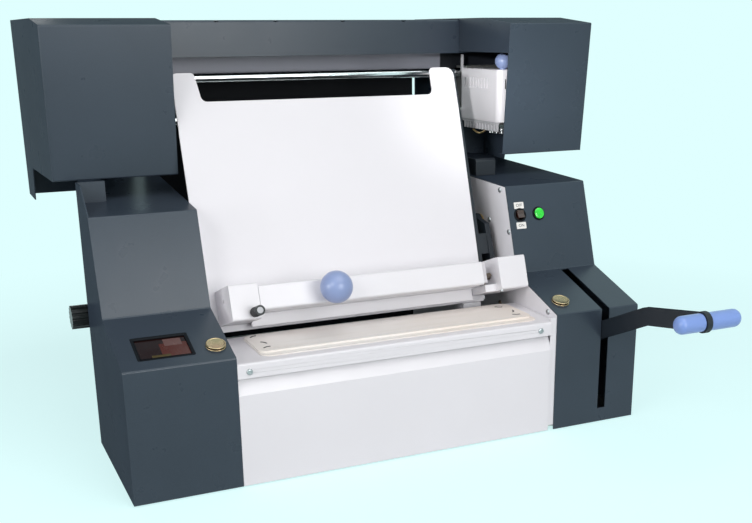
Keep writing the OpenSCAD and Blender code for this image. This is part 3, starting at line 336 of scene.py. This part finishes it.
def spun_metal():
    """Turned disc: rings round its own Z axis that stretch the highlight."""
    n = Nodes("spun_metal")
    length = n.add("ShaderNodeVectorMath", operation="LENGTH")
    flat = n.scaled((1, 1, 0))
    n.link(flat, length.inputs[0])
    rings = n.add("ShaderNodeTexNoise", noise_dimensions="1D")
    rings.inputs["Scale"].default_value = 2600.0
    rings.inputs["Detail"].default_value = 3.0
    n.link(length.outputs["Value"], rings.inputs["W"])
    grain = rings.outputs["Fac"]
    metal = linear(190, 164, 130)
    n.colour(n.mix(n.spread(grain, 0.3, 0.7, 0.0, 1.0), shade(metal, 0.72), metal))
    n.rough(n.spread(grain, 0.3, 0.7, 0.16, 0.3))
    n.bump(grain, 0.25, 0.00004)
    tangent = n.add("ShaderNodeTangent", direction_type="RADIAL", axis="Z")
    n.link(tangent.outputs["Tangent"], n.shader.inputs["Tangent"])
    n.set(Metallic=1.0, Anisotropic=0.85)
    return n.material


def lit_lens():
    """Green lens lit from within."""
    n = Nodes("lit_green_lens")
    glow = n.spread(n.noise(160.0, 2.0), 0.3, 0.7, 0.0, 1.0)
    n.colour(n.mix(glow, linear(20, 170, 30), linear(40, 225, 50)))
    n.rough(0.18)
    n.link(n.mix(glow, linear(10, 180, 20), linear(40, 240, 50)), n.shader.inputs["Emission Color"])
    n.set(Emission_Strength=0.22, Coat_Weight=0.5)
    return n.material


def pad_plastic():
    """Cream strip with grey rub marks along its middle."""
    n = Nodes("cream_pad")
    blotch = n.noise(7.0, 5.0, (1.0, 6.0, 1.0))
    warm = n.mix(n.spread(n.noise(4.0, 3.0), 0.35, 0.65, 0.0, 1.0), CREAM, linear(238, 227, 218))
    n.colour(n.mix(n.spread(blotch, 0.5, 0.75, 0.0, 0.35), warm, linear(214, 206, 192)))
    n.rough(n.spread(n.noise(40.0, 4.0), 0.3, 0.7, 0.38, 0.5))
    n.bump(n.noise(500.0, 2.0), 0.1, 0.00008)
    return n.material


def board_green(name, colour):
    """Circuit board with darker tracks."""
    n = Nodes(name)
    tracks = n.noise(130.0, 2.0, (1.0, 0.3, 1.0))
    n.colour(n.mix(n.spread(tracks, 0.48, 0.52, 0.0, 1.0), colour, shade(colour, 0.55)))
    n.rough(n.spread(tracks, 0.4, 0.6, 0.3, 0.45))
    return n.material


# The beam is pale, as painted light, between the hoods, from GAP_LEFT to GAP_RIGHT in the row frame, and
# dark, as painted shade, beyond them; its colour changes over GAP_BLEND either way
GAP_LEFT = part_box("left_hood")[1].x
GAP_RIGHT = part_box("right_hood")[0].x - 6 * MM
GAP_BLEND = 1 * MM

# Frame paint with painted light between the hoods and painted shade at the beam's ends
frame_paint_lit_and_shaded = frame_light_and_shade_paint()
spun = spun_metal()
lens = lit_lens()
cream = pad_plastic()
circuit = board_green("circuit_board", linear(24, 92, 48))

# ------------------------------------------------------------------ making pieces


# Edges sharper than this many degrees are bevelled and, unless a piece says otherwise, stay
# sharp in the shading
EDGE_ANGLE = 35
# Steps of a quarter circle at a rectangle's corner
CORNER_STEPS = 5


def link(mesh, name):
    """Object in the scene with the given mesh, curve or light."""
    obj = bpy.data.objects.new(name, mesh)
    bpy.context.scene.collection.objects.link(obj)
    return obj


def smooth(mesh, angle=EDGE_ANGLE):
    """Smooth shading that keeps edges sharper than the angle."""
    for face in mesh.polygons:
        face.use_smooth = True
    mesh.set_sharp_from_angle(angle=math.radians(angle))


def finish_piece(obj, material, body, nodes=()):
    """Gives a piece its material and body, and hides the CAD nodes that it stands for."""
    obj.data.materials.clear()
    obj.data.materials.append(material)
    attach(obj, body)
    if nodes:
        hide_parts(*nodes)
    return obj


def bevel(obj, width, segments=2):
    """Breaks the sharp edges; width in metres."""
    modifier = obj.modifiers.new("edges", "BEVEL")
    modifier.width = width
    modifier.segments = segments
    modifier.limit_method = "ANGLE"
    modifier.angle_limit = math.radians(EDGE_ANGLE)
    modifier.harden_normals = True
    modifier.miter_outer = "MITER_ARC"
    normals = obj.modifiers.new("normals", "WEIGHTED_NORMAL")
    normals.keep_sharp = True
    normals.weight = 100


def softened(node, material, width=0.4, segments=2, pierced=False):
    """A CAD node's shape with its sharp edges broken, which stands for the node.

    Flat faces with holes keep their triangles, because a polygon can't go round a hole.
    """
    bm = bmesh.new()
    bm.from_mesh(NODES[node].data)
    bmesh.ops.remove_doubles(bm, verts=bm.verts, dist=1e-6)
    if not pierced:
        bmesh.ops.dissolve_limit(
            bm, angle_limit=math.radians(0.5), verts=bm.verts[:], edges=bm.edges[:]
        )
    mesh = bpy.data.meshes.new(node + "_skin")
    bm.to_mesh(mesh)
    bm.free()
    smooth(mesh)
    obj = link(mesh, node + "_skin")
    bevel(obj, width * MM, segments)
    return finish_piece(obj, material, BODY_OF[node], (node,))


def lathe(name, profile, place, steps=64):
    """Mesh turned round Z from (radius, height) pairs in millimetres, then placed."""
    bm = bmesh.new()
    rings = []
    for radius, height in profile:
        if radius < 1e-6:
            rings.append([bm.verts.new((0, 0, height * MM))])
            continue
        rings.append([
            bm.verts.new((
                radius * MM * math.cos(2 * math.pi * i / steps),
                radius * MM * math.sin(2 * math.pi * i / steps),
                height * MM,
            ))
            for i in range(steps)
        ])
    for low, high in zip(rings, rings[1:]):
        for i in range(steps):
            j = (i + 1) % steps
            a = [low[i], low[j]] if len(low) > 1 else [low[0]]
            b = [high[j], high[i]] if len(high) > 1 else [high[0]]
            bm.faces.new(a + b)
    bmesh.ops.remove_doubles(bm, verts=bm.verts, dist=1e-7)
    bmesh.ops.recalc_face_normals(bm, faces=bm.faces)
    mesh = bpy.data.meshes.new(name)
    bm.to_mesh(mesh)
    bm.free()
    smooth(mesh, 40)
    obj = link(mesh, name)
    obj.matrix_world = place
    return obj


def arc(cx, cz, r, start, end, steps=8):
    """Points (radius, height) on an arc, angles in degrees."""
    return [
        (
            cx + r * math.cos(math.radians(start + (end - start) * i / steps)),
            cz + r * math.sin(math.radians(start + (end - start) * i / steps)),
        )
        for i in range(steps + 1)
    ]


def slab(name, outline, depth, place, edge=0.3, segments=2):
    """Plate with an outline in X and Y, in millimetres, and its base on Z = 0, then placed."""
    bm = bmesh.new()
    low = [bm.verts.new((x * MM, y * MM, 0)) for x, y in outline]
    high = [bm.verts.new((x * MM, y * MM, depth * MM)) for x, y in outline]
    bm.faces.new(low[::-1])
    bm.faces.new(high)
    for i in range(len(outline)):
        j = (i + 1) % len(outline)
        bm.faces.new((low[i], low[j], high[j], high[i]))
    mesh = bpy.data.meshes.new(name)
    bm.to_mesh(mesh)
    bm.free()
    smooth(mesh)
    obj = link(mesh, name)
    obj.matrix_world = place
    if edge:
        bevel(obj, edge * MM, segments)
    return obj


def rounded_rectangle(w, h, r):
    """Outline centred on the origin, in millimetres."""
    points = []
    for cx, cy, start in (
        (w / 2 - r, h / 2 - r, 0), (r - w / 2, h / 2 - r, 90),
        (r - w / 2, r - h / 2, 180), (w / 2 - r, r - h / 2, 270),
    ):
        points += arc(cx, cy, r, start, start + 90, CORNER_STEPS)
    return points


def wire(name, points, radius):
    """Round wire that curves past points of the row frame; radius in millimetres."""
    curve = bpy.data.curves.new(name, "CURVE")
    curve.dimensions = "3D"
    curve.bevel_depth = radius * MM
    curve.bevel_resolution = 4
    curve.use_fill_caps = True
    line = curve.splines.new("NURBS")
    line.points.add(len(points) - 1)
    for point, place in zip(line.points, points):
        point.co = (*place, 1)
    line.order_u = 3
    line.use_endpoint_u = True
    curve.resolution_u = 6
    return link(curve, name)


def boxes(name, corners):
    """Mesh of boxes between pairs of corners, in machine millimetres."""
    bm = bmesh.new()
    for low, high in corners:
        shape = bmesh.ops.create_cube(bm, size=1)["verts"]
        size = Vector(high) - Vector(low)
        place = Matrix.Translation(at(*low) + size * MM / 2) @ Matrix.Diagonal((*size * MM, 1))
        bmesh.ops.transform(bm, matrix=place, verts=shape)
    mesh = bpy.data.meshes.new(name)
    bm.to_mesh(mesh)
    bm.free()
    return link(mesh, name)


def cut(obj, cutter):
    """Takes the cutter's volume out of an object and removes the cutter."""
    modifier = obj.modifiers.new("cut", "BOOLEAN")
    modifier.object = cutter
    modifier.solver = "EXACT"
    bpy.context.view_layer.update()
    result = obj.evaluated_get(bpy.context.evaluated_depsgraph_get())
    mesh = bpy.data.meshes.new_from_object(result)
    obj.modifiers.clear()
    obj.data = mesh
    bpy.data.objects.remove(cutter)


def off(place, x, y, z=0.0):
    """Frame moved by millimetres along its own axes."""
    return place @ Matrix.Translation(Vector((x, y, z)) * MM)


# ------------------------------------------------------------------ sheet metal and frame

for node in ("left_housing", "right_housing", "left_rear_cover", "right_rear_cover"):
    softened(node, slate, 0.5, pierced=True)
for node in ("left_hood", "right_hood", "bridge_cover"):
    softened(node, slate, 0.5)
softened("dust_box", slate_dark, 0.8)
softened("rear_wall", inner_dark, 0.4, pierced=True)
softened("upper_frame", frame_paint_lit_and_shaded, 0.8, pierced=True)
for node in ("left_side_plate", "right_side_plate"):
    softened(node, white, 0.5, pierced=True)
softened("front_panel", white, 0.6)
softened("table_top", white, 0.6, pierced=True)
softened("base_plate", zinc, 0.5, pierced=True)
softened("tray_plate", white, 0.8, 3)
softened("clamp_arms", slate_dark, 0.8)
softened("clamp_blocks", white, 1.0, 3, pierced=True)
softened("clamp_bar", white, 1.0, 3, pierced=True)
softened("front_jaw", white, 0.6)
softened("rear_jaw", aluminium, 0.5)
softened("lever_bar", slate_dark, 1.2, 3)
softened("nip_platen", zinc, 0.5)
softened("platen_guides", slate_dark, 0.5)
softened("shaft_cams", zinc, 0.5)
softened("side_stop", light_grey, 0.7)
softened("roughener_carriage", zinc, 0.6, pierced=True)
softened("comb_guard", light_grey, 0.5)
softened("cutter_motor", slate_dark, 1.0)
softened("cutter", steel, 0.3, pierced=True)
softened("glue_tank", aluminium, 0.8, pierced=True)
softened("glue_carriage", zinc, 0.6, pierced=True)
softened("glue_roller", aluminium, 0.8)
softened("bushes", bronze, 0.4)
softened("feet", rubber, 0.6)
softened("power_rocker", rocker_brown, 0.4)
softened("power_supply", zinc, 0.8)
softened("control_board", circuit, 0.3)
softened("power_inlet", black, 0.5, pierced=True)
softened("adjuster_knob", gloss_black, 0.6)
softened("adjuster_shaft", steel, 0.4)
softened("guide_rods", chrome, 0.5)
softened("cross_shaft", steel, 0.5)
softened("pivot_pins", steel, 0.4)
softened("bar_guides", steel, 0.4)
softened("grip_rod", steel, 0.4)
softened("clamp_spring", slate_dark, 0.1)
softened("display_board", circuit, 0.3)
softened("cover_pad", cream, 0.8, 3)
softened("index_knob", black, 0.3)
softened("ball_knob", blue, 0.3)
softened("roughener_knob", blue, 0.3)
softened("lever_grips", grip_blue, 0.5)

# ------------------------------------------------------------------ controls

# Millimetres: height of the front, then the back edge of the low slope and of the steep face
# above it, each by its depth and height, and the sheet's thickness
FRONT_H = 168.7
SLOPE_D = 110
SLOPE_H = 205
FACE_D = 149
FACE_H = 325
SHEET = 1.5


def on_slope(x, y):
    """Frame on the low slope, with Z out of the surface and X to the right."""
    return axes(at(x, y, FRONT_H + y * (SLOPE_H - FRONT_H) / SLOPE_D), slope_out, Y)


def on_face(x, z):
    """Frame on the steep face, with Z out of the surface and X to the right."""
    y = SLOPE_D + (z - SLOPE_H) * (FACE_D - SLOPE_D) / (FACE_H - SLOPE_H)
    return axes(at(x, y, z), face_out, Z)


BUTTON_Y = 29.5
FACE_ROW = 284.3
ROCKER_X = 604
LEFT_BUTTON = on_slope(118, BUTTON_Y)
RIGHT_BUTTON = on_slope(609, BUTTON_Y)
START = on_face(635, FACE_ROW)
ROCKER = on_face(ROCKER_X, FACE_ROW)


def barrel(name, bore, hole, bezel, place, material):
    """Bezel and barrel of a push button, bored for its cap; radii in millimetres."""
    obj = lathe(name, [
        (bore, -24), (hole, -24), (hole, 0), (bezel, 0), (bezel, 0.45), (bezel - 0.25, 0.85),
        (bezel - 0.6, 1), (bore + 0.3, 1), (bore, 0.7), (bore, -24),
    ], place)
    finish_piece(obj, material, "machine", ("button_barrels",))


barrel("left_bezel", 9.5, 10.9, 12.5, LEFT_BUTTON, spun)
barrel("right_bezel", 9.5, 10.9, 12.5, RIGHT_BUTTON, spun)
barrel("start_bezel", 6.2, 7.9, 10, START, inner_dark)
barrel("rocker_bezel", 7.2, 8.4, 10, ROCKER, inner_dark)

for node, place in (("left_button", LEFT_BUTTON), ("right_button", RIGHT_BUTTON)):
    disc = lathe(node + "_disc", [
        (0, -12), (9.2, -12), (9.2, 2.7), (11.7, 2.7), (12.1, 2.9), (12.2, 3.3), (12.1, 3.8),
        (11.7, 4.15), (11.2, 4.2), (10.4, 4.15), (10.1, 3.9), (9.5, 3.8), (0, 3.8),
    ], place)
    finish_piece(disc, spun, BODY_OF[node], (node,))

dome = lathe("start_dome", [
    (0, -12), (5.9, -12), (5.9, 2.7), (7.6, 2.7), (7.75, 2.85), (7.7, 3.1), (7.2, 3.5),
    (6.1, 3.8), (4.4, 4.0), (2.3, 4.15), (0, 4.2),
], START)
finish_piece(dome, lens, BODY_OF["start_button"], ("start_button",))


def word(text, place, height):
    """Generic word printed on a label, centred on a frame."""
    curve = bpy.data.curves.new("word_" + text, "FONT")
    curve.body = text
    curve.size = height * MM * 1.4
    curve.align_x = "CENTER"
    curve.align_y = "CENTER"
    curve.extrude = 0.05 * MM
    draft = link(curve, "draft_" + text)
    draft.matrix_world = place
    bpy.context.view_layer.update()
    mesh = bpy.data.meshes.new_from_object(
        draft.evaluated_get(bpy.context.evaluated_depsgraph_get())
    )
    bpy.data.objects.remove(draft)
    obj = link(mesh, "word_" + text)
    obj.matrix_world = place
    finish_piece(obj, ink, "machine")


PLATE_T = 0.4

for text, z in (("OFF", 297.5), ("ON", 269.7)):
    spot = on_face(ROCKER_X, z)
    plate = slab("plate_" + text, rounded_rectangle(16, 9.5, 0.8), PLATE_T, spot, 0.12)
    finish_piece(plate, label, "machine")
    word(text, off(spot, 0, 0, PLATE_T + 0.02), 4.2)

# The window's middle and its parts, seen dark through tinted glass
WINDOW = on_slope(56.5, 40.4)
GLASS_TOP = -SHEET
GLASS_T = 2
pane = slab("display_glass", rounded_rectangle(71, 51, 1), GLASS_T,
            off(WINDOW, 0, 0, GLASS_TOP - GLASS_T), 0.1)
finish_piece(pane, dark_glass, "machine", ("display_window",))
for name, material, x, y, w, h, high in (
    ("display_mask", red_mask, 14.5, -6.5, 35, 31.5, 0.1),
    ("display_screen", screen, 14, 10.8, 21.4, 14.4, 0.16),
    ("display_header", header, -4.8, -17.2, 22.5, 7.5, 0.16),
):
    inlay = slab(name, rounded_rectangle(w, h, 0.6), high, off(WINDOW, x, y, GLASS_TOP), 0)
    finish_piece(inlay, material, "machine")
gasket = slab("display_gasket", rounded_rectangle(69, 49, 2), 1.9,
              off(WINDOW, 0, 0.6, GLASS_TOP), 0.1)
cut(gasket, slab("gasket_hole", rounded_rectangle(61, 41, 1), 4, off(WINDOW, 0, 0, -2.5), 0))
finish_piece(gasket, inner_dark, "machine")

# ------------------------------------------------------------------ screws

# Height of a screw's head, in millimetres
HEAD_H = 2


def screw_head(name, origin, out, up, shank):
    """Button-head screw with a round socket, whose head stands on the origin."""
    return lathe(name, [
        (0, -shank), (2, -shank), (2, 0), (3.7, 0), (4, 0.3), (3.9, 0.9), (3.5, 1.5),
        (2.8, 1.9), (2.1, 2), (1.6, 1.9), (1.5, 0.9), (0, 0.7),
    ], axes(origin, out, up), 24)


def loose_boxes(node):
    """Boxes of the separate pieces of a CAD node's mesh."""
    bm = bmesh.new()
    bm.from_mesh(NODES[node].data)
    bmesh.ops.remove_doubles(bm, verts=bm.verts, dist=1e-6)
    left = set(bm.verts)
    found = []
    while left:
        group = [left.pop()]
        for vert in group:
            for edge in vert.link_edges:
                other = edge.other_vert(vert)
                if other in left:
                    left.remove(other)
                    group.append(other)
        low = Vector([min(v.co[i] for v in group) for i in range(3)])
        high = Vector([max(v.co[i] for v in group) for i in range(3)])
        found.append((low, high))
    bm.free()
    return sorted(found, key=lambda pair: tuple(pair[0]))


for number, (low, high) in enumerate(loose_boxes("screws")):
    size = high - low
    centre = (low + high) / 2
    if size.x < size.y:
        out = -X
    elif centre.y < 0:
        out = -Y
    else:
        out = Y
    length = min(size)
    head = screw_head(f"screw_{number}", centre + out * (length / 2 - HEAD_H * MM), out, Z,
                      length / MM - HEAD_H)
    finish_piece(head, screw_steel, "machine", ("screws",))

# ------------------------------------------------------------------ cover pad

# Height of the pad's top face, in millimetres
PAD_TOP = 163.5


def inlaid(name, points, radius, material, body, depth=0.55):
    """Thin wire let into a level surface at the height of its points."""
    path = [at(x, y, z - radius * depth) for x, y, z in points]
    finish_piece(wire(name, path, radius), material, body)


for side, hooks in (
    ("left", ((185, 98, 30), (189, 66, -60), (187, 45, 20))),
    ("right", ((546, 92, 150), (552, 63, 240), (548, 46, 160))),
):
    for number, (x, y, turn) in enumerate(hooks):
        a = math.radians(turn)
        reach = 5.2
        along = Vector((math.cos(a), math.sin(a), 0)) * reach
        aside = Vector((-math.sin(a), math.cos(a), 0)) * reach * 0.7
        spot = Vector((x, y, PAD_TOP))
        inlaid(f"pad_hook_{side}_{number}", (spot - along, spot + aside * 0.8, spot + along),
               1.15, black, "machine", 0.4)
inlaid("pad_groove", [(186, 36, PAD_TOP), (369, 36, PAD_TOP), (552, 36, PAD_TOP)],
       0.35, light_grey, "machine", 0.8)

# ------------------------------------------------------------------ roughening head

# Corners of the head's cover, its wall, and the radii of its front corners, in millimetres
HEAD = ((638.8, 266, 404), (738.8, 387, 482.5))
WALL = 2
LEFT_ROUND = 10
RIGHT_ROUND = 6


def head_outline(inset):
    """Outline of the head's cover, with its front corners rounded."""
    x0, y0 = HEAD[0][0] + inset, HEAD[0][1] + inset
    x1, y1 = HEAD[1][0] - inset, HEAD[1][1] - inset
    left, right = LEFT_ROUND - inset, RIGHT_ROUND - inset
    return (
        arc(x0 + left, y0 + left, left, 180, 270)
        + arc(x1 - right, y0 + right, right, 270, 360)
        + [(x1, y1), (x0, y1)]
    )


HEAD_LOW = HEAD[0][2]
HEAD_TALL = HEAD[1][2] - HEAD_LOW
shell = slab("roughener_shell", head_outline(0), HEAD_TALL,
             Matrix.Translation(at(0, 0, HEAD_LOW)), 0.9, 3)
cut(shell, slab("hollow", head_outline(WALL), 79, Matrix.Translation(at(0, 0, 401.5)), 0))
# Heights of the vents, and how far apart they stand on the side and on the front
VENT_LOW = 454
VENT_HIGH = 468.5
SIDE_PITCH = 9.1
FRONT_PITCH = 6
vents = [
    ((637, 300 + SIDE_PITCH * i, VENT_LOW), (642, 303 + SIDE_PITCH * i, VENT_HIGH))
    for i in range(9)
] + [
    ((649.8 + FRONT_PITCH * i, 264, VENT_LOW), (652.8 + FRONT_PITCH * i, 269, VENT_HIGH))
    for i in range(2)
]
cut(shell, boxes("vents", vents))
smooth(shell.data, 30)
finish_piece(shell, white, "roughener", ("roughener_cover",))

# Dark sheets behind the vents: painted shade in place of the shaded inside of the head
vent_shade_sheets = boxes("vent_painted_shade", [
    ((641, 297, 450), (641.6, 380, 472)), ((648.9, 268.2, 450), (664, 268.8, 472)),
])
finish_piece(vent_shade_sheets, inner_dark, "roughener")

# The head's brass spring under its teeth, and the light strip at its rear edge
finger = [at(642, 312, 389), at(642, 322, 384.5), at(642, 336, 383), at(642, 350, 388)]
finish_piece(wire("comb_spring", finger, 1.5), bronze, "roughener")
strip = boxes("rear_strip", [((638.9, 386.2, 476), (642, 391, 503))])
bevel(strip, 0.3 * MM)
finish_piece(strip, light_grey, "roughener")

# ------------------------------------------------------------------ clamp fittings

# Right end block's left side and underside, then the return coil's start, radius, advance per
# turn and turns, in millimetres of the clamp's own frame
BLOCK_X = 540
BLOCK_LOW = 5.2
COIL = (532.6, -43.4, 28)
COIL_R = 4.3
COIL_PITCH = 1.9
COIL_TURNS = 3.5
COIL_STEPS = 12

turns = [
    on_tray(
        COIL[0] + COIL_PITCH * t / COIL_STEPS,
        COIL[1] + COIL_R * math.cos(2 * math.pi * t / COIL_STEPS),
        COIL[2] + COIL_R * math.sin(2 * math.pi * t / COIL_STEPS),
    )
    for t in range(round(COIL_TURNS * COIL_STEPS) + 1)
]
leg = [on_tray(526, -50, 15.2), on_tray(528.5, -47.5, 21)]
finish_piece(wire("bar_return_coil", leg + turns, 0.75), coil_brown, "clamp")

tip = lathe("block_screw_tip", [(0, 0.4), (2.6, 0.4), (2.6, -1.6), (2.1, -2.3), (0, -2.6)],
            axes(on_tray(BLOCK_X + 4, -64, BLOCK_LOW), tray_up, tray_out), 24)
finish_piece(tip, steel, "clamp")

KNOB_END = on_tray(182, -99.5, 13.8)
end_disc = lathe("index_end", [(0, -0.6), (4, -0.6), (4, 0.1), (3.6, 0.3), (0, 0.3)],
                 axes(KNOB_END, tray_out, tray_up), 32)
finish_piece(end_disc, light_grey, "index")

plate_screw = screw_head("brown_screw", at(586, 155.7, 151.3), -X, Z, 1.5)
finish_piece(plate_screw, coil_brown, "machine")

# ------------------------------------------------------------------ stage

BACKDROP = linear(224, 255, 255)


def sees_background(tree):
    """Factor that is 1 for rays which should meet the plain background."""
    path = tree.nodes.new("ShaderNodeLightPath")
    total = path.outputs["Is Camera Ray"]
    for ray in ("Is Glossy Ray", "Is Transmission Ray"):
        larger = tree.nodes.new("ShaderNodeMath")
        larger.operation = "MAXIMUM"
        tree.links.new(total, larger.inputs[0])
        tree.links.new(path.outputs[ray], larger.inputs[1])
        total = larger.outputs[0]
    return total


def world_light(strength):
    """Soft light from all round, behind which the camera sees the plain background."""
    world = bpy.data.worlds.new("studio")
    bpy.context.scene.world = world
    world.use_nodes = True
    tree = world.node_tree
    tree.nodes.clear()
    out = tree.nodes.new("ShaderNodeOutputWorld")
    soft = tree.nodes.new("ShaderNodeBackground")
    soft.inputs["Color"].default_value = (0.98, 0.98, 1, 1)
    soft.inputs["Strength"].default_value = strength
    shown = tree.nodes.new("ShaderNodeBackground")
    shown.inputs["Color"].default_value = BACKDROP
    shown.inputs["Strength"].default_value = 1.0
    mix = tree.nodes.new("ShaderNodeMixShader")
    tree.links.new(sees_background(tree), mix.inputs[0])
    tree.links.new(soft.outputs[0], mix.inputs[1])
    tree.links.new(shown.outputs[0], mix.inputs[2])
    tree.links.new(mix.outputs[0], out.inputs["Surface"])


def emission(n, strength):
    """Glow in the background's colour."""
    glow = n.add("ShaderNodeEmission")
    glow.inputs["Color"].default_value = BACKDROP
    glow.inputs["Strength"].default_value = strength
    return glow.outputs[0]


def floor(glow, takes, near, far):
    """Floor in the background's colour that keeps the shadow round the object.

    It glows by glow and takes light by takes up to near metres from the middle, and from far
    metres on it is the plain background.
    """
    n = Nodes("pale_floor")
    n.colour(n.mix(n.noise(2.0), linear(196, 202, 204), linear(202, 208, 210)))
    n.rough(0.9)
    n.set(Specular_IOR_Level=0.1)
    dim = n.add("ShaderNodeBsdfDiffuse")
    dim.inputs["Color"].default_value = shade(BACKDROP, takes)
    lit = n.add("ShaderNodeAddShader")
    n.link(emission(n, glow), lit.inputs[0])
    n.link(dim.outputs[0], lit.inputs[1])
    length = n.add("ShaderNodeVectorMath", operation="LENGTH")
    n.link(n.place, length.inputs[0])
    shown = n.add("ShaderNodeMixShader")
    n.link(n.spread(length.outputs["Value"], near, far, 0.0, 1.0), shown.inputs[0])
    n.link(lit.outputs[0], shown.inputs[1])
    n.link(emission(n, 1.0), shown.inputs[2])
    mix = n.add("ShaderNodeMixShader")
    n.link(sees_background(n.tree), mix.inputs[0])
    n.link(n.shader.outputs[0], mix.inputs[1])
    n.link(shown.outputs[0], mix.inputs[2])
    n.link(mix.outputs[0], n.tree.nodes["Material Output"].inputs["Surface"])
    size = 40.0  # metres from the middle to each side
    mesh = bpy.data.meshes.new("floor")
    corners = [(-size, -size, 0), (size, -size, 0), (size, size, 0), (-size, size, 0)]
    mesh.from_pydata(corners, [], [(0, 1, 2, 3)])
    mesh.materials.append(n.material)
    link(mesh, "floor")


def aimed(data, name, place, target):
    """Puts a light in the scene, facing a target."""
    obj = link(data, name)
    obj.location = place
    obj.rotation_euler = (Vector(place) - Vector(target)).to_track_quat("Z", "Y").to_euler()


def lamp(name, place, target, size, power):
    """White area lamp that faces a target."""
    data = bpy.data.lights.new(name, "AREA")
    data.shape = "RECTANGLE"
    data.size, data.size_y = size
    data.energy = power
    aimed(data, name, place, target)


def accent(name, place, target, angle, power):
    """Soft-edged spot of light that reaches into the gap between the hoods."""
    data = bpy.data.lights.new(name, "SPOT")
    data.energy = power
    data.spot_size = math.radians(angle)
    data.spot_blend = 0.6
    data.shadow_soft_size = 0.08
    aimed(data, name, place, target)


world_light(0.16)
floor(glow=0.73, takes=0.37, near=0.7, far=1.3)
lamp("key", (0.28, -2.0, 0.74), (0.0, 0.0, 0.35), (1.1, 0.9), 18)
lamp("top", (0.3, -0.9, 2.2), (0.0, 0.0, 0.2), (1.8, 1.4), 20)
lamp("side", (-2.4, -0.5, 0.6), (0.0, 0.0, 0.35), (0.9, 0.9), 16)
lamp("high_side", (-1.6, -1.2, 1.35), (0.1, 0.0, 0.3), (0.8, 0.8), 11)
lamp("back", (-0.6, 2.6, 1.3), (0.0, 0.0, 0.3), (1.2, 1.0), 14)
accent("head_light", (-1.2, -1.85, 0.72), middle("roughener_cover"), 5.5, 250)

scene = bpy.context.scene
scene.view_settings.view_transform = "Standard"
